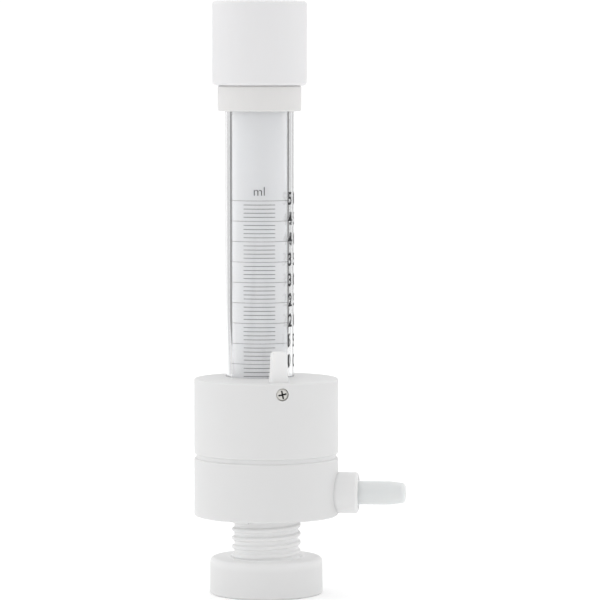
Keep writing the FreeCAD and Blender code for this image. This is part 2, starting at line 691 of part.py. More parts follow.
# Priming key with its seal ring and screw, and the return tube under it.
groove_low = screw_height - S("key_groove_height") / 2.0
groove_high = screw_height + S("key_groove_height") / 2.0
key_foot = S("body_top") + S("run_gap")
stem = turned("key_stem_turned", [
    (S("return_bore"), S("key_stem_bottom")),
    (S("key_stem"), S("key_stem_bottom")),
    (S("key_stem"), groove_low),
    (S("key_groove_floor"), groove_low),
    (S("key_groove_floor"), groove_high),
    (S("key_stem"), groove_high),
    (S("key_stem"), key_foot),
    (ZERO, key_foot),
    (ZERO, S("key_duct_height")),
    (S("return_bore"), S("key_duct_height")),
])
blade_body = doc.addObject("PartDesign::Body", "key_blade_body")
half_foot = S("key_base_width") / 2.0
half_top = S("key_top_width") / 2.0
shoulder = S("key_top") - S("key_round") * 1.6
blade_outline = outline(blade_body, "key_blade_outline", [
    (ZERO - half_foot, key_foot),
    (half_foot, key_foot),
    (half_top, shoulder),
    (half_top, S("key_top"), S("key_round")),
    (ZERO - half_top, S("key_top"), S("key_round")),
    (ZERO - half_top, shoulder),
])
blade = blade_body.newObject("PartDesign::Pad", "key_blade_pad")
blade.Profile = blade_outline
blade.Midplane = True
blade.Length = VALUES["key_depth"]
bind(blade, "Length", S("key_depth"))
key_solid = fuse("key_solid", [stem, blade_body])
key_port = cylinder("key_port", S("key_duct"), S("key_stem") + 1.0, ZERO, ZERO,
                    S("key_duct_height"), ACROSS)
key = cut("priming_key_cut", key_solid, [key_port])
put(key, KEY_X, KEY_Y, ZERO, Rotation(Vector(0, 0, 1), VALUES["line_angle"] - 90.0))
node(key, "priming_key")

stem_middle = S("key_stem") + S("stem_ring_radius") + S("run_gap") / 2.0
stem_ring = doc.addObject("Part::Torus", "stem_ring_torus")
stem_ring.Radius1 = stem_middle.value
stem_ring.Radius2 = VALUES["stem_ring_radius"]
bind(stem_ring, "Radius1", stem_middle)
bind(stem_ring, "Radius2", S("stem_ring_radius") - S("run_gap") / 2.0)
node(put(stem_ring, KEY_X, KEY_Y, S("stem_ring_height")), "key_seal_ring")

pin = turned("key_screw_turned", [
    (ZERO, screw_tip),
    (S("screw_shank") - 0.4, screw_tip),
    (S("screw_shank"), screw_tip + 0.5),
    (S("screw_shank"), screw_under),
    (S("screw_head"), screw_under),
    (S("screw_head"), screw_face - 0.5),
    (S("screw_head") - 0.7, screw_face),
    (ZERO, screw_face),
])
cross_low = screw_face - S("cross_depth")
crosses = [
    box("cross_a", S("cross_length"), S("cross_width"), S("cross_depth") + 1.0,
        ZERO - S("cross_length") / 2.0, ZERO - S("cross_width") / 2.0, cross_low),
    box("cross_b", S("cross_width"), S("cross_length"), S("cross_depth") + 1.0,
        ZERO - S("cross_width") / 2.0, ZERO - S("cross_length") / 2.0, cross_low),
]
key_screw = cut("key_screw_cut", pin, crosses)
put(key_screw, ZERO, ZERO, screw_height,
    OUTWARD.multiply(Rotation(Vector(0, 0, 1), 12)))
node(key_screw, "key_screw")

return_tube = turned("return_tube_turned", [
    (S("return_bore"), S("return_bottom")),
    (S("return_radius"), S("return_bottom")),
    (S("return_radius"), S("key_bore_bottom")),
    (S("return_bore"), S("key_bore_bottom")),
])
node(put(return_tube, KEY_X, KEY_Y), "return_tube")

# Intake valve in the neck.
nipple_top = S("neck_bottom") + S("nipple_flange")
nipple = turned("intake_nipple_turned", [
    (S("nipple_bore"), S("nipple_bottom")),
    (S("nipple_radius") - S("nipple_chamfer"), S("nipple_bottom")),
    (S("nipple_radius"), S("nipple_bottom") + S("nipple_chamfer")),
    (S("nipple_radius"), S("neck_bottom")),
    (S("intake_bore"), S("neck_bottom")),
    (S("intake_bore"), nipple_top),
    (S("nipple_bore"), nipple_top),
])
node(nipple, "intake_nipple")

intake_seat_top = nipple_top + S("intake_seat_height")
cone_foot = nipple_top + S("intake_cone_start")
cone_reach = S("intake_seat_height") - S("intake_cone_start")
intake_seat = turned("intake_seat_turned", [
    (S("intake_port"), nipple_top),
    (S("intake_bore"), nipple_top),
    (S("intake_bore"), intake_seat_top),
    (S("intake_port") + cone_reach, intake_seat_top),
    (S("intake_port"), cone_foot),
])
node(intake_seat, "intake_seat")

intake_centre = cone_foot - S("intake_port") + S("intake_ball_radius") * ROOT2 + S("rest_gap")
intake_ball = doc.addObject("Part::Sphere", "intake_ball_sphere")
intake_ball.Radius = VALUES["intake_ball_radius"]
bind(intake_ball, "Radius", S("intake_ball_radius"))
node(put(intake_ball, ZERO, ZERO, intake_centre), "intake_ball")

cage_ceiling = intake_seat_top + S("cage_room")
cage = turned("intake_cage_turned", [
    (S("cage_bore"), intake_seat_top),
    (S("intake_bore"), intake_seat_top),
    (S("intake_bore"), cartridge_top),
    (ZERO, cartridge_top),
    (ZERO, cage_ceiling),
    (S("cage_bore"), cage_ceiling),
])
cage_holes = []
for number in range(4):
    angle = 90.0 * number
    across = S("cage_hole_circle") * math.cos(math.radians(angle))
    along = S("cage_hole_circle") * math.sin(math.radians(angle))
    cage_holes.append(cylinder("cage_hole_%d" % (number + 1), S("cage_hole"), S("cage_web") + 2.0,
                               across, along, cage_ceiling - 1.0))
node(cut("intake_cage_cut", cage, cage_holes), "intake_cage")

# Outlet valve and nozzle, stacked outwards along the outlet axis.
outlet_cone = stack_start + S("outlet_cone_start")
outlet_reach = S("outlet_seat_length") - S("outlet_cone_start")
outlet_seat = turned("outlet_seat_turned", [
    (S("outlet_port"), stack_start),
    (S("valve_bore"), stack_start),
    (S("valve_bore"), seat_end),
    (S("outlet_port") + outlet_reach, seat_end),
    (S("outlet_port"), outlet_cone),
])
node(put(outlet_seat, ZERO, ZERO, S("outlet_height"), ACROSS), "discharge_seat")

outlet_centre = outlet_cone - S("outlet_port") + S("outlet_ball_radius") * ROOT2 + S("rest_gap")
outlet_ball = doc.addObject("Part::Sphere", "discharge_ball_sphere")
outlet_ball.Radius = VALUES["outlet_ball_radius"]
bind(outlet_ball, "Radius", S("outlet_ball_radius"))
node(put(outlet_ball, outlet_centre, ZERO, S("outlet_height")), "discharge_ball")

sleeve = turned("valve_sleeve_turned", [
    (S("sleeve_bore"), seat_end),
    (S("valve_bore"), seat_end),
    (S("valve_bore"), sleeve_end),
    (S("sleeve_bore"), sleeve_end),
])
node(put(sleeve, ZERO, ZERO, S("outlet_height"), ACROSS), "valve_sleeve")

washer = turned("nozzle_washer_turned", [
    (S("washer_bore"), sleeve_end),
    (S("valve_bore"), sleeve_end),
    (S("valve_bore"), washer_end),
    (S("washer_bore"), washer_end),
])
node(put(washer, ZERO, ZERO, S("outlet_height"), ACROSS), "nozzle_washer")

orifice_start = NOZZLE_END - S("orifice_length")
nozzle = turned("outlet_nozzle_turned", [
    (S("nozzle_bore"), washer_end),
    (S("valve_bore"), washer_end),
    (S("valve_bore"), flange_end),
    (S("nozzle_radius") + S("nozzle_step"), flange_end),
    (S("nozzle_radius") + S("nozzle_step"), BOSS_END),
    (S("nozzle_radius"), BOSS_END),
    (S("nozzle_radius"), NOZZLE_END - S("lead_length")),
    (S("nozzle_radius") - S("lead_in"), NOZZLE_END, S("nozzle_round")),
    (S("nozzle_orifice"), NOZZLE_END),
    (S("nozzle_orifice"), orifice_start),
    (S("nozzle_bore"), orifice_start - 1.0),
])
node(put(nozzle, ZERO, ZERO, S("outlet_height"), ACROSS), "outlet_nozzle")

gland_bore = S("nozzle_radius") + S("nozzle_step") + S("run_gap")
gland = turned("outlet_gland_turned", [
    (gland_bore, flange_end),
    (S("gland_radius"), flange_end),
    (S("gland_radius"), gland_end),
    (gland_bore, gland_end),
])
put(gland, ZERO, ZERO, S("outlet_height"), ACROSS)
spanner_circle = (S("gland_radius") + S("nozzle_radius")) / 2.0
spanner_holes = [
    cylinder("spanner_hole_%d" % number, S("spanner_radius"), size(3.0), gland_end - 1.6,
             spanner_circle * side, S("outlet_height"), ACROSS)
    for number, side in ((1, 1.0), (2, -1.0))
]
node(cut("outlet_gland_cut", gland, spanner_holes), "outlet_gland")

# The spring rests on the ball and on the nozzle's inner end.
ball_side = (S("outlet_ball_radius") * S("outlet_ball_radius")
             - S("spring_radius") * S("spring_radius"))
ball_seat = Size(math.sqrt(ball_side.value), "sqrt(%s)" % ball_side.text)
spring_start = outlet_centre + ball_seat + S("wire_radius") + S("rest_gap") * 3.0
spring_path = doc.addObject("Part::Helix", "spring_path")
spring_rise = washer_end - S("wire_radius") - spring_start - S("rest_gap")
for prop, value in (("Radius", S("spring_radius")), ("Pitch", S("spring_pitch")),
                    ("Height", spring_rise)):
    setattr(spring_path, prop, value.value)
    bind(spring_path, prop, value)
spring_section = doc.addObject("Part::Circle", "spring_section")
spring_section.Radius = VALUES["wire_radius"]
bind(spring_section, "Radius", S("wire_radius"))
put(spring_section, S("spring_radius"), ZERO, ZERO, Rotation(Vector(1, 0, 0), 90))
spring = doc.addObject("Part::Sweep", "discharge_spring_sweep")
spring.Sections = [spring_section]
spring.Spine = (spring_path, [])
spring.Solid = True
spring.Frenet = True
put(spring, spring_start, ZERO, S("outlet_height"), ACROSS)
node(spring, "discharge_spring")

# Bottle adapter with the neck's nut thread above and the bottle's thread below.
web_bottom = S("adapter_height") - S("web_thickness")
nut_bore = S("neck_crest") + S("thread_play")
adapter = turned("bottle_adapter_turned", [
    (nut_bore, web_bottom),
    (S("mouth_radius"), web_bottom),
    (S("mouth_radius"), S("mouth_pilot")),
    (S("mouth_radius") + S("pilot_play"), S("mouth_pilot")),
    (S("mouth_radius") + S("pilot_play"), ZERO),
    (S("adapter_radius"), ZERO, S("adapter_foot_round")),
    (S("adapter_radius"), S("adapter_height"), S("adapter_round")),
    (nut_bore + 0.7, S("adapter_height")),
    (nut_bore, S("adapter_height") - 0.7),
])
nut_crest = S("neck_root") + S("thread_play")
nut_half = S("nut_ridge_base") / 2.0
nut_top_half = S("nut_ridge_top") / 2.0
nut_turn = 117.0
nut_start = S("ridge_level") + S("thread_pitch") / 2.0 - S("thread_pitch") * (nut_turn / 360.0)
nut_ridge = helix_ridge("nut_ridge", nut_bore, S("thread_pitch"),
                        S("adapter_height") - nut_start - nut_half - 0.5, [
    (nut_crest, nut_start - nut_top_half),
    (nut_bore + 0.3, nut_start - nut_half),
    (nut_bore + 0.3, nut_start + nut_half),
    (nut_crest, nut_start + nut_top_half),
], nut_start)
put(nut_ridge, ZERO, ZERO, ZERO, Rotation(Vector(0, 0, 1), -nut_turn))
bottle_half = size(1.1)
bottle_start = S("mouth_pilot") + bottle_half + 0.1
bottle_crest = S("mouth_radius") - S("bottle_ridge_depth")
bottle_rise = web_bottom - S("gasket_thickness") - bottle_start - bottle_half - 0.3
bottle_ridge = helix_ridge("bottle_ridge", S("mouth_radius"), S("thread_pitch"), bottle_rise, [
    (bottle_crest, bottle_start - bottle_half * 0.45),
    (S("mouth_radius") + 0.3, bottle_start - bottle_half),
    (S("mouth_radius") + 0.3, bottle_start + bottle_half),
    (bottle_crest, bottle_start + bottle_half * 0.45),
], bottle_start)
adapter_nut = join("bottle_adapter_nut", adapter, nut_ridge)
node(join("bottle_adapter_threaded", adapter_nut, bottle_ridge), "bottle_adapter")

gasket = turned("adapter_gasket_turned", [
    (S("neck_crest") + S("gasket_play"), web_bottom - S("gasket_thickness")),
    (S("gasket_radius"), web_bottom - S("gasket_thickness")),
    (S("gasket_radius"), web_bottom - S("rest_gap")),
    (S("neck_crest") + S("gasket_play"), web_bottom - S("rest_gap")),
])
node(gasket, "adapter_gasket")

doc.recompute()
problems = []
for item in doc.Objects:
    if "Invalid" in item.State or "Error" in item.State:
        problems.append("%s is %s" % (item.Name, item.State))
for label, item in NODES:
    if item.Shape.isNull() or not item.Shape.isValid():
        problems.append("%s has no valid shape" % label)
    elif len(item.Shape.Solids) != 1:
        problems.append("%s has %d solids" % (label, len(item.Shape.Solids)))
for line in problems:
    print(line)
if problems:
    raise SystemExit("the model has %d problems" % len(problems))
for label, item in NODES:
    item.Shape.exportStep("parts/%s.step" % label)
print("%d sub-parts written" % len(NODES))
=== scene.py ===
"""Looks for a bottle-top dosing dispenser, laid out as an add-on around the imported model."""
import math

import bmesh
import bpy
from mathutils import Matrix, Vector


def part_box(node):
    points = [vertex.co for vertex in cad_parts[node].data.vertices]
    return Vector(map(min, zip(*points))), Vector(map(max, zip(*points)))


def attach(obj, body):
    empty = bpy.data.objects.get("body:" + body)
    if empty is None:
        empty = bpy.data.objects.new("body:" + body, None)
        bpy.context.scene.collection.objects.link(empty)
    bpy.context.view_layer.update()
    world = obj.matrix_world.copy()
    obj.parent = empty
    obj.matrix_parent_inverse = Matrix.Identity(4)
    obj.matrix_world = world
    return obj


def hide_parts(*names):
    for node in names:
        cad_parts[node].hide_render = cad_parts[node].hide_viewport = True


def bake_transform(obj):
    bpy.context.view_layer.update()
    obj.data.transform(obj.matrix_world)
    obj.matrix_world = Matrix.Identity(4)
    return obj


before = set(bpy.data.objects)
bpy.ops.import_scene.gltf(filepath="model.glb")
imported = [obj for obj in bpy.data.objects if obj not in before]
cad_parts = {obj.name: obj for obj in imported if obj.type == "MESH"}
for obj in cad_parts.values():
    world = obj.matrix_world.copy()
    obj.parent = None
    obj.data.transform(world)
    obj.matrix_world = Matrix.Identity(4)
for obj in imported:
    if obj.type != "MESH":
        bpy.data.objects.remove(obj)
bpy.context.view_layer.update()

bl_info = {
    "name": "Dosing dispenser looks",
    "version": (1, 0, 0),
    "blender": (4, 5, 0),
    "location": "View3D > Sidebar > Dispenser",
    "description": "Finishes, printed scale and studio for a bottle-top dosing dispenser",
    "category": "Object",
}

MM = 0.001

# Where the barrel stands, read from the frame.
BARREL_LOW, BARREL_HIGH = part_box("barrel")
BARREL_AXIS = ((BARREL_LOW[0] + BARREL_HIGH[0]) / 2, (BARREL_LOW[1] + BARREL_HIGH[1]) / 2)
BARREL_RADIUS = (BARREL_HIGH[0] - BARREL_LOW[0]) / 2
BARREL_MIDDLE = (BARREL_AXIS[0], BARREL_AXIS[1], 0.0)
PISTON_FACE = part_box("piston_head")[0][2]

NECK_AXIS = (0.0, 0.0)
SENSOR_WIDTH = 36.0

# The sweep: where its flat floor ends, the radius of its bend and the height of its back,
# as shares of half its depth, and how far it lies under the part.
FLOOR_END, FLOOR_BEND, FLOOR_BACK = 0.55, 0.4, 0.6
BEND_STEPS = 16
FLOOR_GAP = 0.00005

# The surround's low strips: the sines of the heights between which they fade in and out,
# and the degrees over which their ends fade.
STRIP_FOOT = (-0.100, -0.088)
STRIP_TOP = (0.005, -0.010)
FLAG_FADE, WING_STEP, WING_FADE = 4, 2, 3
# Where the extra light comes from: shares to the camera's left and towards the camera.
LIFT_LEFT, LIFT_BACK = 0.95, 0.3
# Where the floor's grey sides are reached, as shares of its width before its pale middle.
GREY_LEFT, GREY_RIGHT = 0.33, 0.67

# Painted glow on the milky plastic, standing in for light: it lifts the shaded neck and its
# thread, the dark gap where the neck enters the adapter, and some bands and rings of the block.
# (height, level) and (radius, level), in millimetres.
BLOCK_GLOW_HEIGHTS = ((0, 0.20), (17, 0.18), (18.5, 0.14), (22, 0.12), (34, 0.08), (36, 0.05),
                 (37, 0.07), (57, 0.07), (60, 0.0), (62.5, 0.05), (70, 0.05))
BLOCK_GLOW_RINGS = ((0, 1.0), (16.5, 1.0), (17.5, 0.0), (31.9, 0.0), (32.1, 1.0), (32.4, 1.0),
               (32.6, 0.0), (33.5, 0.0), (34.5, 1.0), (45, 1.0))
ADAPTER_GLOW_HEIGHTS = ((0, 0.0), (12.5, 0.0), (16.5, 0.20), (20, 0.20))
ADAPTER_GLOW_RINGS = ((0, 0.8), (17.2, 0.8), (18.2, 0.6), (26, 0.4))

# Printed marks: the gap between ink and glass, the arc of one step of a line in degrees,
# and how finely lettering is merged and cut before it is bent onto the glass.
INK_GAP = 0.00001
ARC_STEP, FEWEST_STEPS = 5.0, 6
LETTER_DEPTH = 0.01
LETTER_MERGE = 1e-4
LETTER_STRIP = 0.0004
LETTER_SNAP = 2e-6
NUMBER_LIFT = 0.0009
FIRST_NUMBER, NUMBER_STEP = 10, 5

MERGE = 1e-9
WIRE_SIDES, COIL_STEPS = 12, 28
# Where the painted shade in the screw's recess starts, as a share of its depth.
RECESS_SHADE_START = 0.55


# Settings that a user would change.

class StudioSettings(bpy.types.PropertyGroup):
    azimuth: bpy.props.FloatProperty(
        name="Azimuth", description="Camera's turn round the part, degrees, 0 looks along +Y",
        default=5.0, min=-180.0, max=180.0)
    elevation: bpy.props.FloatProperty(
        name="Elevation", description="Camera's height above the level, degrees",
        default=3.71, min=-89.0, max=89.0)
    distance: bpy.props.FloatProperty(
        name="Distance", description="Camera from the point it looks at", default=1.7056,
        min=0.3, max=10.0, unit="LENGTH")
    lens: bpy.props.FloatProperty(
        name="Lens", description="Focal length on a 36 mm sensor, in millimetres",
        default=222.0, min=20.0, max=600.0)
    aim_right: bpy.props.FloatProperty(
        name="Aim right", description="Aim point, right of the neck's axis",
        default=0.0156, min=-0.2, max=0.2, unit="LENGTH")
    aim_height: bpy.props.FloatProperty(
        name="Aim height", description="Aim point above the floor", default=0.1357,
        min=0.0, max=0.5, unit="LENGTH")
    surround: bpy.props.FloatProperty(
        name="Surround", description="Brightness of the white surround",
        default=1.225, min=0.0, max=5.0)
    front_level: bpy.props.FloatProperty(
        name="Front level", description="Share of that brightness on the camera's side",
        default=0.62, min=0.0, max=2.0)
    flag_level: bpy.props.FloatProperty(
        name="Flag level", description="Share of it in the low dark strips beside the backdrop",
        default=0.04, min=0.0, max=2.0)
    flag_from: bpy.props.FloatProperty(
        name="Flag from", description="Where those strips start, degrees from the view's line",
        default=43.0, min=0.0, max=90.0)
    flag_to: bpy.props.FloatProperty(
        name="Flag to", description="Where those strips end, degrees from the view's line",
        default=57.0, min=0.0, max=90.0)
    wing_level: bpy.props.FloatProperty(
        name="Wing level", description="Share of it in the grey strips inside the dark ones",
        default=0.47, min=0.0, max=2.0)
    wing_from: bpy.props.FloatProperty(
        name="Wing from", description="Where the grey strips start, degrees from the view's line",
        default=27.0, min=0.0, max=90.0)
    side_lift: bpy.props.FloatProperty(
        name="Side lift", description="Extra brightness on the camera's left",
        default=0.15, min=0.0, max=2.0)
    floor_width: bpy.props.FloatProperty(
        name="Floor width", description="Width of the floor and backdrop", default=2.4,
        min=1.0, max=30.0, unit="LENGTH")
    floor_depth: bpy.props.FloatProperty(
        name="Floor depth", description="Length of the floor from front to back", default=7.0,
        min=1.0, max=30.0, unit="LENGTH")
    floor_colour: bpy.props.FloatVectorProperty(
        name="Floor colour", description="Colour of the floor and backdrop", subtype="COLOR",
        size=3, min=0.0, max=1.0, default=(0.95, 0.95, 0.95))
    right_grey: bpy.props.FloatProperty(
        name="Right grey", description="Grey of the floor and backdrop right of the pale middle",
        default=0.66, min=0.0, max=1.0)
    left_grey: bpy.props.FloatProperty(
        name="Left grey", description="The same on the left, a little deeper", default=0.50,
        min=0.0, max=1.0)
    pale_half: bpy.props.FloatProperty(
        name="Pale half width", description="Half width of the floor's pale middle", default=0.38,
        min=0.0, max=5.0, unit="LENGTH")
    floor_glow: bpy.props.FloatProperty(
        name="Floor glow", description="Light that the floor gives off itself", default=0.10,
        min=0.0, max=2.0)


class PlasticSettings(bpy.types.PropertyGroup):
    housing: bpy.props.FloatVectorProperty(
        name="Housing white", description="Colour of the housing and the adapter",
        subtype="COLOR", size=3, min=0.0, max=1.0, default=(0.695, 0.695, 0.695))
    block: bpy.props.FloatVectorProperty(
        name="Block white", description="Colour of the valve block with its neck",
        subtype="COLOR", size=3, min=0.0, max=1.0, default=(0.685, 0.685, 0.685))
    # Strength of the painted glow that lifts shade on the neck and in the gap at the adapter's
    # top.
    neck_glow: bpy.props.FloatProperty(
        name="Neck glow", description="Light that the milky neck and adapter pass on",
        default=1.0, min=0.0, max=4.0)
    cap: bpy.props.FloatVectorProperty(
        name="Cap white", description="Colour of the grip cap", subtype="COLOR", size=3,
        min=0.0, max=1.0, default=(0.752, 0.749, 0.757))
    collar: bpy.props.FloatVectorProperty(
        name="Collar white", description="Colour of the barrel collar, a little warmer",
        subtype="COLOR", size=3, min=0.0, max=1.0, default=(0.712, 0.705, 0.700))
    # The plunger's white is partly its own colour and partly painted light: it is set brighter to
    # make up for light that the glass holds back.
    plunger: bpy.props.FloatVectorProperty(
        name="Plunger white", description="Colour of the plunger inside the glass",
        subtype="COLOR", size=3, min=0.0, max=1.0, default=(0.82, 0.82, 0.83))
    # Painted glow on the plunger, making up for the light that the glass barrel holds back.
    plunger_glow: bpy.props.FloatProperty(
        name="Plunger glow", description="Light that the plunger's milky plastic passes on",
        default=0.05, min=0.0, max=1.0)
    key: bpy.props.FloatVectorProperty(
        name="Key white", description="Colour of the priming key", subtype="COLOR", size=3,
        min=0.0, max=1.0, default=(0.80, 0.80, 0.80))
    nozzle: bpy.props.FloatVectorProperty(
        name="Nozzle", description="Milky colour of the translucent nozzle", subtype="COLOR",
        size=3, min=0.0, max=1.0, default=(0.705, 0.720, 0.722))
    roughness: bpy.props.FloatProperty(
        name="Roughness", description="Roughness of the white plastic", default=0.48,
        min=0.0, max=1.0, subtype="FACTOR")


class GlassSettings(bpy.types.PropertyGroup):
    tint: bpy.props.FloatVectorProperty(
        name="Tint", description="Colour of the barrel's glass", subtype="COLOR", size=3,
        min=0.0, max=1.0, default=(0.99, 0.995, 1.0))
    refraction: bpy.props.FloatProperty(
        name="Refraction", description="Refractive index of the barrel's glass", default=1.47,
        min=1.0, max=2.0)
    # Painted glow on the glass's surfaces, which brightens the plunger seen through it.
    veil: bpy.props.FloatProperty(
        name="Veil", description="Faint light that the glass's surfaces scatter", default=0.04,
        min=0.0, max=1.0)


class ScaleSettings(bpy.types.PropertyGroup):
    first: bpy.props.IntProperty(
        name="First line", description="Volume of the lowest line, ml", default=7, min=1, max=50)
    last: bpy.props.IntProperty(
        name="Last line", description="Volume of the highest line, ml", default=50, min=1, max=50)
    zero: bpy.props.FloatProperty(
        name="Zero height", description="Height of the scale's zero above the piston's face",
        default=-0.00005, unit="LENGTH")
    step: bpy.props.FloatProperty(
        name="Step", description="Height of one millilitre", default=0.001883, unit="LENGTH")
    facing: bpy.props.FloatProperty(
        name="Facing", description="Direction of the scale's middle, degrees from +X",
        default=-85.0)
    minor_half: bpy.props.FloatProperty(
        name="Minor half arc", description="Half the arc of a millilitre line, degrees",
        default=27.0)
    major_half: bpy.props.FloatProperty(
        name="Major half arc", description="Half the arc of a five-millilitre line, degrees",
        default=57.0)
    minor_width: bpy.props.FloatProperty(
        name="Minor width", description="Width of a millilitre line", default=0.00020,
        unit="LENGTH")
    major_width: bpy.props.FloatProperty(
        name="Major width", description="Width of a five-millilitre line", default=0.00013,
        unit="LENGTH")
    film: bpy.props.FloatProperty(
        name="Ink thickness", description="How far the ink stands on the glass",
        default=0.00003, unit="LENGTH")
    number_height: bpy.props.FloatProperty(
        name="Number height", description="Height of the numbers", default=0.0060,
        unit="LENGTH")
    number_start: bpy.props.FloatProperty(
        name="Number start", description="Where the numbers start, degrees right of the middle",
        default=55.5)
    number_bold: bpy.props.FloatProperty(
        name="Number boldness", description="How far the strokes are thickened, share of the size",
        default=0.012)
    number_spacing: bpy.props.FloatProperty(
        name="Number spacing", description="Room between digits, 1 is the font's own",
        default=1.45)
    unit_bold: bpy.props.FloatProperty(
        name="Unit boldness", description="The same for the unit, whose strokes are thin",
        default=-0.012)
    unit_height: bpy.props.FloatProperty(
        name="Unit height", description="Height of the tall letter of the unit", default=0.0039,
        unit="LENGTH")
    unit_level: bpy.props.FloatProperty(
        name="Unit level", description="Height of the unit's middle above the zero",
        default=0.0986, unit="LENGTH")
    ink: bpy.props.FloatVectorProperty(
        name="Ink", description="Colour of the printed scale", subtype="COLOR", size=3,
        min=0.0, max=1.0, default=(0.03, 0.03, 0.032))


class MetalSettings(bpy.types.PropertyGroup):
    steel: bpy.props.FloatVectorProperty(
        name="Steel", description="Colour of the screws and the rod", subtype="COLOR", size=3,
        min=0.0, max=1.0, default=(0.62, 0.61, 0.58))
    roughness: bpy.props.FloatProperty(
        name="Roughness", description="Roughness of the steel", default=0.28, min=0.0, max=1.0,
        subtype="FACTOR")
    # Depth at which the painted shade in the screw's recess is darkest.
    recess_depth: bpy.props.FloatProperty(
        name="Recess depth", description="Depth at which the screw's recess is darkest",
        default=0.00105, unit="LENGTH")
    wire: bpy.props.FloatProperty(
        name="Spring wire", description="Radius of the outlet spring's wire", default=0.0003,
        unit="LENGTH")
    pitch: bpy.props.FloatProperty(
        name="Spring pitch", description="Rise of one turn of the outlet spring",
        default=0.0015, unit="LENGTH")


# Shared shader effects.

def group_tree(name, inputs, outputs):
    """A shader node group with named sockets; each socket is (name, type, default)."""
    tree = bpy.data.node_groups.new(name, "ShaderNodeTree")
    for label, kind, default in inputs:
        item = tree.interface.new_socket(name=label, in_out="INPUT", socket_type=kind)
        item.default_value = default
    for label, kind in outputs:
        tree.interface.new_socket(name=label, in_out="OUTPUT", socket_type=kind)
    return tree, tree.nodes.new("NodeGroupInput"), tree.nodes.new("NodeGroupOutput")


def add(tree, kind, **values):
    """A new node with the given attributes."""
    item = tree.nodes.new(kind)
    for key, value in values.items():
        setattr(item, key, value)
    return item


def math_node(tree, operation, first, second):
    """The output of a math node; each operand is a socket or a number."""
    item = add(tree, "ShaderNodeMath", operation=operation)
    for socket, value in zip(item.inputs, (first, second)):
        if hasattr(value, "links"):
            tree.links.new(value, socket)
        else:
            socket.default_value = value
    return item.outputs[0]


def grey_ramp(tree, source, levels):
    """Grey that follows (position, level) stops along a value."""
    ramp = add(tree, "ShaderNodeValToRGB")
    stops = ramp.color_ramp.elements
    stops.remove(stops[1])
    for index, (position, value) in enumerate(levels):
        stop = stops[0] if index == 0 else stops.new(position)
        stop.position = position
        stop.color = (value, value, value, 1.0)
    tree.links.new(source, ramp.inputs["Fac"])
    return ramp.outputs["Color"]


def fade(tree, source, low, high, kind="LINEAR"):
    """Goes from 0 to 1 while a value goes from low to high."""
    item = add(tree, "ShaderNodeMapRange", interpolation_type=kind)
    item.inputs["From Min"].default_value = low
    item.inputs["From Max"].default_value = high
    tree.links.new(source, item.inputs["Value"])
    return item.outputs["Result"]


def share_along(tree, source, direction):
    """How far a vector reaches along a direction."""
    item = add(tree, "ShaderNodeVectorMath", operation="DOT_PRODUCT")
    item.inputs[1].default_value = tuple(direction)
    tree.links.new(source, item.inputs[0])
    return item.outputs["Value"]


def height_and_radius(tree, source):
    """A vector's height and its distance from Z."""
    split = add(tree, "ShaderNodeSeparateXYZ")
    tree.links.new(source, split.inputs[0])
    flat = add(tree, "ShaderNodeCombineXYZ")
    tree.links.new(split.outputs[0], flat.inputs[0])
    tree.links.new(split.outputs[1], flat.inputs[1])
    length = add(tree, "ShaderNodeVectorMath", operation="LENGTH")
    tree.links.new(flat.outputs[0], length.inputs[0])
    return split.outputs[2], length.outputs["Value"]


def moulded_grain():
    """Colour, roughness and height of satin moulded plastic with a faint cloudiness."""
    if "moulded_grain" in bpy.data.node_groups:
        return bpy.data.node_groups["moulded_grain"]
    tree, start, end = group_tree("moulded_grain", [
        ("Colour", "NodeSocketColor", (0.8, 0.8, 0.8, 1.0)),
        ("Roughness", "NodeSocketFloat", 0.45),
        ("Cloud", "NodeSocketFloat", 0.02),
        ("Grain scale", "NodeSocketFloat", 2600.0),
    ], [
        ("Colour", "NodeSocketColor"),
        ("Roughness", "NodeSocketFloat"),
        ("Height", "NodeSocketFloat"),
    ])
    place = add(tree, "ShaderNodeTexCoord")
    cloud = add(tree, "ShaderNodeTexNoise")
    cloud.inputs["Scale"].default_value = 34.0
    cloud.inputs["Detail"].default_value = 3.0
    grain = add(tree, "ShaderNodeTexNoise")
    grain.inputs["Detail"].default_value = 4.0
    tree.links.new(place.outputs["Object"], cloud.inputs["Vector"])
    tree.links.new(place.outputs["Object"], grain.inputs["Vector"])
    tree.links.new(start.outputs["Grain scale"], grain.inputs["Scale"])
    centred = math_node(tree, "SUBTRACT", cloud.outputs["Fac"], 0.5)
    swing = math_node(tree, "MULTIPLY", centred, start.outputs["Cloud"])
    level = math_node(tree, "ADD", swing, 1.0)
    tone = add(tree, "ShaderNodeVectorMath", operation="SCALE")
    tree.links.new(start.outputs["Colour"], tone.inputs[0])
    tree.links.new(level, tone.inputs["Scale"])
    tree.links.new(tone.outputs[0], end.inputs["Colour"])
    unevenness = math_node(tree, "MULTIPLY", centred, 0.12)
    rough = math_node(tree, "ADD", start.outputs["Roughness"], unevenness)
    tree.links.new(rough, end.inputs["Roughness"])
    tree.links.new(grain.outputs["Fac"], end.inputs["Height"])
    return tree


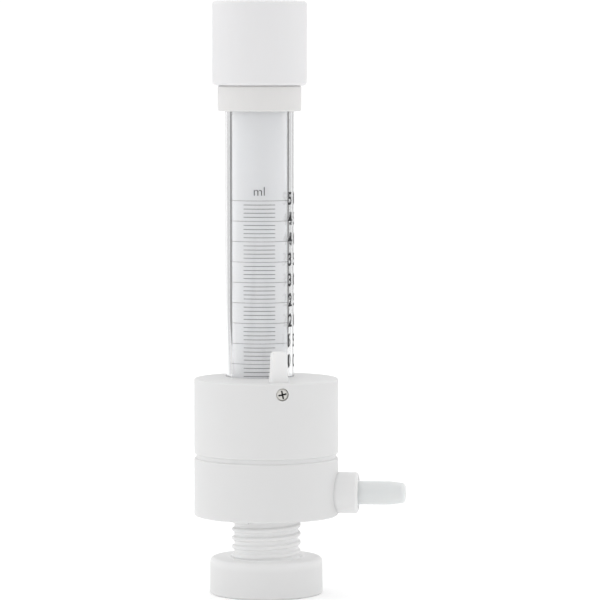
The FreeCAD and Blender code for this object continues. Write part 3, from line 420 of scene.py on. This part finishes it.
def turning_marks():
    """Height of the fine rings that a lathe leaves, round an axis along Z."""
    if "turning_marks" in bpy.data.node_groups:
        return bpy.data.node_groups["turning_marks"]
    tree, start, end = group_tree("turning_marks", [
        ("Centre", "NodeSocketVector", (0.0, 0.0, 0.0)),
        ("Spacing", "NodeSocketFloat", 0.00035),
    ], [("Height", "NodeSocketFloat")])
    place = add(tree, "ShaderNodeTexCoord")
    shift = add(tree, "ShaderNodeVectorMath", operation="SUBTRACT")
    tree.links.new(place.outputs["Object"], shift.inputs[0])
    tree.links.new(start.outputs["Centre"], shift.inputs[1])
    height, radius = height_and_radius(tree, shift.outputs[0])
    along = math_node(tree, "ADD", radius, height)
    turns = math_node(tree, "DIVIDE", along, start.outputs["Spacing"])
    wave = math_node(tree, "SINE", math_node(tree, "MULTIPLY", turns, 2 * math.pi), 0.0)
    tree.links.new(wave, end.inputs["Height"])
    return tree


def shader_of(material):
    """A material's surface shader."""
    return next(n for n in material.node_tree.nodes if n.type == "BSDF_PRINCIPLED")


def fresh_material(name):
    """A new material with its tree and its surface shader."""
    material = bpy.data.materials.new(name)
    material.use_nodes = True
    return material, material.node_tree, shader_of(material)


def place_group(tree, group, **values):
    """A group node in a tree; a low line in a keyword stands for a space in the socket's name."""
    item = add(tree, "ShaderNodeGroup", node_tree=group)
    for key, value in values.items():
        item.inputs[key.replace("_", " ")].default_value = value
    return item


def add_bump(tree, target, height, strength, distance):
    """Feeds a node's normal from a height, raised by at most a distance."""
    bump = add(tree, "ShaderNodeBump")
    bump.inputs["Strength"].default_value = strength
    bump.inputs["Distance"].default_value = distance
    tree.links.new(height, bump.inputs["Height"])
    tree.links.new(bump.outputs["Normal"], target.inputs["Normal"])
    return bump


def add_grain(tree, shader, colour, roughness, cloud, **values):
    """Feeds the shader's colour and roughness from the moulded grain."""
    grain = place_group(tree, moulded_grain(), Colour=(*colour, 1.0), Roughness=roughness,
                        Cloud=cloud, **values)
    tree.links.new(grain.outputs["Colour"], shader.inputs["Base Color"])
    tree.links.new(grain.outputs["Roughness"], shader.inputs["Roughness"])
    return grain.outputs["Height"]


def white_plastic(name, colour, roughness, axis, marks=0.000004, cloud=0.02, depth=0.35):
    """Satin white plastic, faintly cloudy, with a trace of turning rings round an axis."""
    material, tree, shader = fresh_material(name)
    grain = add_grain(tree, shader, colour, roughness, cloud)
    rings = place_group(tree, turning_marks(), Centre=(axis[0], axis[1], 0.0))
    turned = add_bump(tree, shader, rings.outputs["Height"], 0.25, marks)
    add_bump(tree, turned, grain, 0.10, 0.00002)
    shader.inputs["IOR"].default_value = 1.38
    shader.inputs["Subsurface Weight"].default_value = depth
    shader.inputs["Subsurface Radius"].default_value = (1.0, 0.95, 0.9)
    shader.inputs["Subsurface Scale"].default_value = 0.0012
    return material


def printing_ink(settings):
    """Matt dark ink with a slightly uneven film."""
    if "printing_ink" in bpy.data.materials:
        return bpy.data.materials["printing_ink"]
    material, tree, shader = fresh_material("printing_ink")
    grain = add_grain(tree, shader, settings.ink, 0.6, 0.4, Grain_scale=5200.0)
    add_bump(tree, shader, grain, 0.2, 0.000004)
    shader.inputs["Specular IOR Level"].default_value = 0.2
    return material


def bright_steel(settings):
    """Turned steel with a faint grain."""
    if "bright_steel" in bpy.data.materials:
        return bpy.data.materials["bright_steel"]
    material, tree, shader = fresh_material("bright_steel")
    grain = add_grain(tree, shader, settings.steel, settings.roughness, 0.25,
                      Grain_scale=4000.0)
    add_bump(tree, shader, grain, 0.2, 0.00002)
    shader.inputs["Metallic"].default_value = 1.0
    return material


def passed_light(material, heights, rings, strength):
    """Painted glow on milky plastic that lifts its shade, by (height, level) and by (radius,
    level) round Z.
    """
    tree, shader = material.node_tree, shader_of(material)
    place = add(tree, "ShaderNodeTexCoord")
    height, radius = height_and_radius(tree, place.outputs["Object"])
    levels = []
    for source, stops in ((height, heights), (radius, rings)):
        reach = stops[-1][0]
        share = math_node(tree, "DIVIDE", source, reach * MM)
        levels.append(grey_ramp(tree, share, [(at / reach, level) for at, level in stops]))
    level = math_node(tree, "MULTIPLY", levels[0], levels[1])
    tree.links.new(level, shader.inputs["Emission Color"])
    shader.inputs["Emission Strength"].default_value = strength


def dress(nodes, material):
    """Gives a material to nodes that are carried over from the frame."""
    for name in nodes:
        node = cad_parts[name]
        node.data.materials.clear()
        node.data.materials.append(material)


# Printed marks.

def wrapped_arc(mesh, middle_degrees, half_degrees, level, width, settings):
    """Adds one printed line to a bmesh: a thin strip spun round the barrel's axis."""
    inner = BARREL_RADIUS + INK_GAP
    outer = inner + settings.film
    start = math.radians(middle_degrees - half_degrees)
    turn = Matrix.Rotation(start, 4, "Z")
    corners = [(inner, -width / 2), (outer, -width / 2), (outer, width / 2), (inner, width / 2)]
    ring = [mesh.verts.new(turn @ Vector((r, 0.0, level + z))) for r, z in corners]
    face = mesh.faces.new(ring)
    steps = max(FEWEST_STEPS, int(2 * half_degrees / ARC_STEP))
    bmesh.ops.spin(mesh, geom=[face] + list(face.edges) + ring, cent=(0, 0, 0), axis=(0, 0, 1),
                   dvec=(0, 0, 0), angle=math.radians(2 * half_degrees), steps=steps,
                   use_duplicate=False, use_merge=False)


def finish_mesh(name, mesh, material, body, offset=(0.0, 0.0, 0.0)):
    """Turns a bmesh into a piece of the object, which rides on a body if one is given."""
    bmesh.ops.remove_doubles(mesh, verts=mesh.verts, dist=MERGE)
    bmesh.ops.recalc_face_normals(mesh, faces=mesh.faces)
    bmesh.ops.translate(mesh, verts=mesh.verts, vec=offset)
    data = bpy.data.meshes.new(name)
    mesh.to_mesh(data)
    mesh.free()
    piece = bpy.data.objects.new(name, data)
    bpy.context.scene.collection.objects.link(piece)
    data.materials.append(material)
    if body:
        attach(piece, body)
    return piece


def letter_mesh(words, height, thickness, bold=0.0, spacing=1.0):
    """A bmesh of thin lettering in the XY plane, its left edge at x = 0, centred on y = 0."""
    curve = bpy.data.curves.new("lettering", "FONT")
    curve.body = words
    curve.size = 1.0
    curve.extrude = LETTER_DEPTH
    curve.offset = bold
    curve.space_character = spacing
    curve.resolution_u = 5
    text = bpy.data.objects.new("lettering", curve)
    bpy.context.scene.collection.objects.link(text)
    bpy.context.view_layer.update()
    solid = text.evaluated_get(bpy.context.evaluated_depsgraph_get())
    data = bpy.data.meshes.new_from_object(solid)
    bpy.data.objects.remove(text)
    bpy.data.curves.remove(curve)
    mesh = bmesh.new()
    mesh.from_mesh(data)
    bpy.data.meshes.remove(data)
    bmesh.ops.remove_doubles(mesh, verts=mesh.verts, dist=LETTER_MERGE)
    bmesh.ops.dissolve_degenerate(mesh, edges=mesh.edges, dist=LETTER_MERGE)
    xs = [v.co.x for v in mesh.verts]
    ys = [v.co.y for v in mesh.verts]
    ratio = height / (max(ys) - min(ys))
    bmesh.ops.translate(mesh, verts=mesh.verts, vec=(-min(xs), -(max(ys) + min(ys)) / 2, 0))
    flatten = thickness / (2 * LETTER_DEPTH)
    bmesh.ops.scale(mesh, verts=mesh.verts, vec=(ratio, ratio, flatten))
    return mesh


def wrap_letters(mesh, start_degrees, level, film):
    """Bends lettering in XY onto the barrel, from a start direction, at a level."""
    width = max(v.co.x for v in mesh.verts)
    cut = LETTER_STRIP
    while cut < width:
        everything = list(mesh.verts) + list(mesh.edges) + list(mesh.faces)
        bmesh.ops.bisect_plane(mesh, geom=everything, dist=LETTER_SNAP,
                               plane_co=(cut, 0, 0), plane_no=(1, 0, 0))
        cut += LETTER_STRIP
    inner = BARREL_RADIUS + INK_GAP
    for vert in mesh.verts:
        turn = math.radians(start_degrees) + vert.co.x / inner
        radius = inner + film / 2 + vert.co.z
        vert.co = Vector((radius * math.cos(turn), radius * math.sin(turn), level + vert.co.y))


# Operators, one for each piece or group of like pieces.

class DISPENSER_OT_studio(bpy.types.Operator):
    """Make the floor, backdrop, surround light and camera"""
    bl_idname = "dispenser.studio"
    bl_label = "Studio"

    def execute(self, context):
        s = context.scene.dispenser_studio
        turn, tilt = math.radians(s.azimuth), math.radians(s.elevation)
        right = Vector((math.cos(turn), math.sin(turn), 0))
        back = Vector((math.sin(turn) * math.cos(tilt), -math.cos(turn) * math.cos(tilt),
                       math.sin(tilt)))
        self.place_camera(context, s, right, back)
        self.roll_out_sweep(context, s, right, turn)
        context.scene.world = self.surround(s, right, back, turn)
        context.scene.view_settings.view_transform = "Standard"
        return {"FINISHED"}

    @staticmethod
    def place_camera(context, settings, right, back):
        """The camera looks at the aim point from a distance along a direction."""
        data = bpy.data.cameras.new("camera")
        data.lens = settings.lens
        data.sensor_width = SENSOR_WIDTH
        data.clip_start = 0.05
        data.clip_end = 50.0
        camera = bpy.data.objects.new("camera", data)
        aim = right * settings.aim_right + Vector((0, 0, settings.aim_height))
        camera.location = aim + back * settings.distance
        camera.rotation_euler = back.to_track_quat("Z", "Y").to_euler()
        context.scene.collection.objects.link(camera)
        context.scene.camera = camera

    def roll_out_sweep(self, context, settings, right, turn):
        """The floor bends up into a backdrop behind the part."""
        half = settings.floor_depth / 2
        mesh = bmesh.new()
        edge = [mesh.verts.new(Vector((x * settings.floor_width, -half, 0)))
                for x in (-0.5, 0.5)]
        line = mesh.edges.new(edge)
        ends, edges = self.extrude(mesh, [line])
        bmesh.ops.translate(mesh, verts=ends, vec=(0, half + half * FLOOR_END, 0))
        middle = (0, half * FLOOR_END, half * FLOOR_BEND)
        bent = bmesh.ops.spin(mesh, geom=ends + edges, cent=middle, axis=(1, 0, 0),
                              dvec=(0, 0, 0), angle=math.radians(90), steps=BEND_STEPS,
                              use_duplicate=False)["geom_last"]
        ends, edges = self.extrude(mesh, [x for x in bent if isinstance(x, bmesh.types.BMEdge)])
        bmesh.ops.translate(mesh, verts=ends, vec=(0, 0, half * FLOOR_BACK))
        bmesh.ops.rotate(mesh, verts=mesh.verts, cent=(0, 0, 0),
                         matrix=Matrix.Rotation(turn, 3, "Z"))
        bmesh.ops.translate(mesh, verts=mesh.verts, vec=(0, 0, -FLOOR_GAP))
        bmesh.ops.recalc_face_normals(mesh, faces=mesh.faces)
        for face in mesh.faces:
            face.smooth = True
        data = bpy.data.meshes.new("sweep")
        mesh.to_mesh(data)
        mesh.free()
        data.materials.append(self.floor_material(settings, right))
        sweep = bpy.data.objects.new("sweep", data)
        context.scene.collection.objects.link(sweep)

    @staticmethod
    def extrude(mesh, edges):
        """The vertices and the edges that an extrusion adds."""
        grown = bmesh.ops.extrude_edge_only(mesh, edges=edges)["geom"]
        return ([x for x in grown if isinstance(x, bmesh.types.BMVert)],
                [x for x in grown if isinstance(x, bmesh.types.BMEdge)])

    @staticmethod
    def surround(settings, right, back, turn):
        """White light from all round, with low dark strips that the barrel's edges mirror."""
        s = settings
        world = bpy.data.worlds.new("white_surround")
        world.use_nodes = True
        tree = world.node_tree
        tree.nodes.clear()
        direction = add(tree, "ShaderNodeTexCoord").outputs["Generated"]
        ahead = share_along(tree, direction, (-math.sin(turn), math.cos(turn), 0.0))
        left = share_along(tree, direction, -right * LIFT_LEFT + back * LIFT_BACK)
        spread = fade(tree, ahead, -1.0, 1.0)
        open_sky = grey_ramp(tree, spread, ((0.0, s.front_level), (0.5, 1.0)))
        strips = ((s.flag_to + FLAG_FADE, 1.0), (s.flag_to, s.flag_level),
                  (s.flag_from, s.flag_level), (s.flag_from - WING_STEP, s.wing_level),
                  (s.wing_from, s.wing_level), (s.wing_from - WING_FADE, 1.0))
        flags = grey_ramp(tree, spread, [((math.cos(math.radians(degrees)) + 1) / 2, level)
                                         for degrees, level in strips])
        height = add(tree, "ShaderNodeSeparateXYZ")
        tree.links.new(direction, height.inputs[0])
        above = fade(tree, height.outputs["Z"], *STRIP_FOOT, kind="SMOOTHSTEP")
        below = fade(tree, height.outputs["Z"], *STRIP_TOP, kind="SMOOTHSTEP")
        low_band = math_node(tree, "MULTIPLY", above, below)
        missing = math_node(tree, "SUBTRACT", 1.0, flags)
        kept = math_node(tree, "SUBTRACT", 1.0, math_node(tree, "MULTIPLY", missing, low_band))
        lift = math_node(tree, "MULTIPLY", math_node(tree, "MAXIMUM", left, 0.0), s.side_lift)
        level = math_node(tree, "MULTIPLY", math_node(tree, "ADD", open_sky, lift), kept)
        strength = math_node(tree, "MULTIPLY", level, s.surround)
        background = add(tree, "ShaderNodeBackground")
        background.inputs["Color"].default_value = (1.0, 1.0, 1.0, 1.0)
        tree.links.new(strength, background.inputs["Strength"])
        output = add(tree, "ShaderNodeOutputWorld")
        tree.links.new(background.outputs[0], output.inputs[0])
        return world

    @staticmethod
    def floor_material(settings, right):
        """Pale in the middle and greyer at the sides, which the glass barrel's edges mirror."""
        material, tree, shader = fresh_material("pale_floor")
        place = add(tree, "ShaderNodeTexCoord")
        across = share_along(tree, place.outputs["Object"], right)
        share = math_node(tree, "ADD", 0.5,
                          math_node(tree, "DIVIDE", across, settings.floor_width))
        pale = settings.pale_half / settings.floor_width
        shade = grey_ramp(tree, share, (
            (GREY_LEFT - pale, settings.left_grey), (0.5 - pale, 1.0), (0.5 + pale, 1.0),
            (GREY_RIGHT + pale, settings.right_grey)))
        tone = add(tree, "ShaderNodeVectorMath", operation="SCALE")
        tone.inputs[0].default_value = tuple(settings.floor_colour)
        tree.links.new(shade, tone.inputs["Scale"])
        tree.links.new(tone.outputs[0], shader.inputs["Base Color"])
        tree.links.new(tone.outputs[0], shader.inputs["Emission Color"])
        shader.inputs["Emission Strength"].default_value = settings.floor_glow
        shader.inputs["Roughness"].default_value = 0.9
        shader.inputs["Specular IOR Level"].default_value = 0.1
        return material


class DISPENSER_OT_white_parts(bpy.types.Operator):
    """Give the white moulded and turned parts their satin plastic"""
    bl_idname = "dispenser.white_parts"
    bl_label = "White parts"

    def execute(self, context):
        s = context.scene.dispenser_plastic
        housing = white_plastic("housing_plastic", s.housing, s.roughness, NECK_AXIS)
        dress(["upper_housing", "outlet_gland"], housing)
        block = white_plastic("block_plastic", s.block, s.roughness, NECK_AXIS)
        # Painted glow lifts the shaded neck, its thread and some bands and rings of the block.
        passed_light(block, BLOCK_GLOW_HEIGHTS, BLOCK_GLOW_RINGS, s.neck_glow)
        dress(["valve_block"], block)
        adapter = white_plastic("adapter_plastic", s.housing, s.roughness, NECK_AXIS)
        # Painted glow fills the dark gap round the neck at the adapter's top.
        passed_light(adapter, ADAPTER_GLOW_HEIGHTS, ADAPTER_GLOW_RINGS, s.neck_glow)
        dress(["bottle_adapter"], adapter)
        key = white_plastic("key_plastic", s.key, s.roughness, NECK_AXIS, marks=0.000001)
        dress(["priming_key"], key)
        cap = white_plastic("cap_plastic", s.cap, s.roughness, BARREL_AXIS)
        dress(["grip_cap"], cap)
        collar = white_plastic("collar_plastic", s.collar, s.roughness, BARREL_AXIS)
        dress(["barrel_collar"], collar)
        plunger = white_plastic("plunger_plastic", s.plunger, 0.35, BARREL_AXIS, cloud=0.01)
        # The plunger's painted glow makes up for the light that the glass holds back from it.
        shader = shader_of(plunger)
        shader.inputs["Emission Color"].default_value = (*s.plunger, 1.0)
        shader.inputs["Emission Strength"].default_value = s.plunger_glow
        dress(["plunger_tube", "piston_head"], plunger)
        return {"FINISHED"}


class DISPENSER_OT_glass_barrel(bpy.types.Operator):
    """Give the barrel its clear glass"""
    bl_idname = "dispenser.glass_barrel"
    bl_label = "Glass barrel"

    def execute(self, context):
        s = context.scene.dispenser_glass
        material, tree, shader = fresh_material("barrel_glass")
        shader.inputs["Base Color"].default_value = (*s.tint, 1.0)
        shader.inputs["Transmission Weight"].default_value = 1.0
        shader.inputs["IOR"].default_value = s.refraction
        # Painted glow on the glass's surfaces, lifting the plunger seen through it.
        shader.inputs["Emission Color"].default_value = (0.98, 0.99, 1.0, 1.0)
        shader.inputs["Emission Strength"].default_value = s.veil
        place = add(tree, "ShaderNodeTexCoord")
        smear = add(tree, "ShaderNodeTexNoise")
        smear.inputs["Scale"].default_value = 60.0
        tree.links.new(place.outputs["Object"], smear.inputs["Vector"])
        rough = math_node(tree, "MULTIPLY", smear.outputs["Fac"], 0.03)
        tree.links.new(rough, shader.inputs["Roughness"])
        add_bump(tree, shader, smear.outputs["Fac"], 0.3, 0.00001)
        dress(["barrel"], material)
        return {"FINISHED"}


class DISPENSER_OT_nozzle(bpy.types.Operator):
    """Give the nozzle its milky translucent plastic"""
    bl_idname = "dispenser.nozzle"
    bl_label = "Nozzle"

    def execute(self, context):
        s = context.scene.dispenser_plastic
        material = white_plastic("nozzle_plastic", s.nozzle, 0.30, NECK_AXIS,
                                 marks=0.0000005, cloud=0.05, depth=0.7)
        shader_of(material).inputs["Subsurface Scale"].default_value = 0.003
        dress(["outlet_nozzle"], material)
        return {"FINISHED"}


class DISPENSER_OT_scale_lines(bpy.types.Operator):
    """Print the millilitre lines on the barrel"""
    bl_idname = "dispenser.scale_lines"
    bl_label = "Scale lines"

    def execute(self, context):
        s = context.scene.dispenser_scale
        for name, whole in (("scale_minor_lines", False), ("scale_major_lines", True)):
            mesh = bmesh.new()
            for volume in range(s.first, s.last + 1):
                if (volume % NUMBER_STEP == 0) != whole:
                    continue
                half = s.major_half if whole else s.minor_half
                width = s.major_width if whole else s.minor_width
                level = PISTON_FACE + s.zero + volume * s.step
                wrapped_arc(mesh, s.facing, half, level, width, s)
            finish_mesh(name, mesh, printing_ink(s), "pump",
                        BARREL_MIDDLE)
        return {"FINISHED"}


class DISPENSER_OT_scale_numbers(bpy.types.Operator):
    """Print the volume numbers and the unit on the barrel"""
    bl_idname = "dispenser.scale_numbers"
    bl_label = "Scale numbers"

    def execute(self, context):
        s = context.scene.dispenser_scale
        together = bmesh.new()
        for volume in range(FIRST_NUMBER, s.last + 1, NUMBER_STEP):
            mesh = letter_mesh(str(volume), s.number_height, s.film, s.number_bold,
                               s.number_spacing)
            level = PISTON_FACE + s.zero + volume * s.step + NUMBER_LIFT
            wrap_letters(mesh, s.facing + s.number_start, level, s.film)
            self.pour(mesh, together)
        mesh = letter_mesh("ml", s.unit_height, s.film, s.unit_bold)
        width = max(v.co.x for v in mesh.verts)
        half = math.degrees(width / BARREL_RADIUS) / 2
        level = PISTON_FACE + s.zero + s.unit_level
        wrap_letters(mesh, s.facing - half, level, s.film)
        self.pour(mesh, together)
        finish_mesh("scale_numbers", together, printing_ink(s), "pump",
                    BARREL_MIDDLE)
        return {"FINISHED"}

    @staticmethod
    def pour(mesh, together):
        """Adds one word's mesh to the mesh that holds all of them."""
        data = bpy.data.meshes.new("word")
        mesh.to_mesh(data)
        mesh.free()
        together.from_mesh(data)
        bpy.data.meshes.remove(data)


class DISPENSER_OT_metal_parts(bpy.types.Operator):
    """Give the screws and the rod their steel"""
    bl_idname = "dispenser.metal_parts"
    bl_label = "Metal parts"

    def execute(self, context):
        s = context.scene.dispenser_metal
        material = bright_steel(s)
        dress(["plunger_rod", "discharge_spring", "housing_screw_1", "housing_screw_2",
               "housing_screw_3", "housing_screw_4"], material)
        # A copy of the steel with painted shade in the key screw's recess.
        screw = material.copy()
        screw.name = "screw_steel"
        self.shade_recess(screw, s)
        dress(["key_screw"], screw)
        return {"FINISHED"}

    @staticmethod
    def shade_recess(material, settings):
        """Paints shade into the cross recess, which lies deeper along the screw than its face."""
        outward = Vector((-BARREL_AXIS[0], -BARREL_AXIS[1], 0.0)).normalized()
        face = max(v.co.dot(outward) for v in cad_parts["key_screw"].data.vertices)
        tree, shader = material.node_tree, shader_of(material)
        place = add(tree, "ShaderNodeTexCoord")
        reach = share_along(tree, place.outputs["Object"], outward)
        outside = fade(tree, reach, face - settings.recess_depth,
                       face - settings.recess_depth * RECESS_SHADE_START)
        steel = shader.inputs["Base Color"].links[0].from_socket
        mix = add(tree, "ShaderNodeMix", data_type="RGBA")
        # Near-black painted shade, mixed in below the recess's start.
        mix.inputs[6].default_value = (0.02, 0.02, 0.02, 1.0)
        tree.links.new(outside, mix.inputs[0])
        tree.links.new(steel, mix.inputs[7])
        tree.links.new(mix.outputs[2], shader.inputs["Base Color"])


class DISPENSER_OT_outlet_spring(bpy.types.Operator):
    """Coil the outlet valve's spring, which its ball presses together"""
    bl_idname = "dispenser.outlet_spring"
    bl_label = "Outlet spring"

    def execute(self, context):
        s = context.scene.dispenser_metal
        low, high = (Vector(corner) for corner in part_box("discharge_spring"))
        axis = (low + high) / 2
        coil = (high.z - low.z) / 2 - s.wire
        length = high.x - low.x - 2 * s.wire
        turns = length / s.pitch
        steps = round(turns * COIL_STEPS)
        mesh = bmesh.new()
        bmesh.ops.create_circle(mesh, cap_ends=True, segments=WIRE_SIDES, radius=s.wire)
        bmesh.ops.rotate(mesh, verts=mesh.verts, cent=(0, 0, 0),
                         matrix=Matrix.Rotation(math.radians(90), 3, "X"))
        bmesh.ops.translate(mesh, verts=mesh.verts, vec=(low.x + s.wire, axis.y, axis.z - coil))
        section = list(mesh.verts) + list(mesh.edges) + list(mesh.faces)
        bmesh.ops.spin(mesh, geom=section, cent=axis, axis=(1, 0, 0),
                       dvec=(length / steps, 0, 0), angle=2 * math.pi * turns, steps=steps,
                       use_duplicate=False)
        bmesh.ops.holes_fill(mesh, edges=mesh.edges, sides=0)
        for face in mesh.faces:
            face.smooth = True
        piece = finish_mesh("outlet_spring", mesh, bright_steel(s), None)
        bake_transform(piece)
        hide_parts("discharge_spring")
        return {"FINISHED"}


class DISPENSER_OT_inner_parts(bpy.types.Operator):
    """Give the valves, seals and gaskets their finishes"""
    bl_idname = "dispenser.inner_parts"
    bl_label = "Inner parts"

    def execute(self, context):
        s = context.scene.dispenser_plastic
        seal = white_plastic("seal_plastic", s.collar, 0.4, NECK_AXIS, marks=0.000001)
        dress(["piston_seal", "guide_ring", "valve_sleeve", "nozzle_washer", "return_tube",
               "intake_nipple", "intake_seat", "intake_cage", "discharge_seat",
               "adapter_gasket"], seal)
        material, tree, shader = fresh_material("seal_rubber")
        grain = add_grain(tree, shader, (0.025, 0.025, 0.027), 0.55, 0.3)
        add_bump(tree, shader, grain, 0.25, 0.00003)
        dress(["barrel_seat", "barrel_seal_ring", "block_gasket", "key_seal_ring"], material)
        material, tree, shader = fresh_material("ball_glass")
        grain = add_grain(tree, shader, (0.75, 0.78, 0.80), 0.08, 0.1)
        add_bump(tree, shader, grain, 0.1, 0.000002)
        shader.inputs["Coat Weight"].default_value = 0.5
        dress(["intake_ball", "discharge_ball"], material)
        return {"FINISHED"}


class DISPENSER_PT_panel(bpy.types.Panel):
    """Lists the dispenser's pieces and settings"""
    bl_idname = "DISPENSER_PT_panel"
    bl_label = "Dosing dispenser"
    bl_space_type = "VIEW_3D"
    bl_region_type = "UI"
    bl_category = "Dispenser"

    def draw(self, context):
        for operator in OPERATORS:
            self.layout.operator(operator.bl_idname)
        for name, group in SETTINGS.items():
            settings = getattr(context.scene, name)
            for key in group.__annotations__:
                self.layout.prop(settings, key)


OPERATORS = (
    DISPENSER_OT_studio,
    DISPENSER_OT_white_parts,
    DISPENSER_OT_glass_barrel,
    DISPENSER_OT_nozzle,
    DISPENSER_OT_scale_lines,
    DISPENSER_OT_scale_numbers,
    DISPENSER_OT_metal_parts,
    DISPENSER_OT_outlet_spring,
    DISPENSER_OT_inner_parts,
)
SETTINGS = {
    "dispenser_studio": StudioSettings,
    "dispenser_plastic": PlasticSettings,
    "dispenser_glass": GlassSettings,
    "dispenser_scale": ScaleSettings,
    "dispenser_metal": MetalSettings,
}


def register():
    for name, group in SETTINGS.items():
        bpy.utils.register_class(group)
        setattr(bpy.types.Scene, name, bpy.props.PointerProperty(type=group))
    for operator in OPERATORS:
        bpy.utils.register_class(operator)
    bpy.utils.register_class(DISPENSER_PT_panel)


def unregister():
    bpy.utils.unregister_class(DISPENSER_PT_panel)
    for operator in reversed(OPERATORS):
        bpy.utils.unregister_class(operator)
    for name, group in reversed(list(SETTINGS.items())):
        delattr(bpy.types.Scene, name)
        bpy.utils.unregister_class(group)


def main():
    register()
    bpy.ops.dispenser.studio()
    bpy.ops.dispenser.white_parts()
    bpy.ops.dispenser.glass_barrel()
    bpy.ops.dispenser.nozzle()
    bpy.ops.dispenser.scale_lines()
    bpy.ops.dispenser.scale_numbers()
    bpy.ops.dispenser.metal_parts()
    bpy.ops.dispenser.outlet_spring()
    bpy.ops.dispenser.inner_parts()


if __name__ == "__main__":
    main()
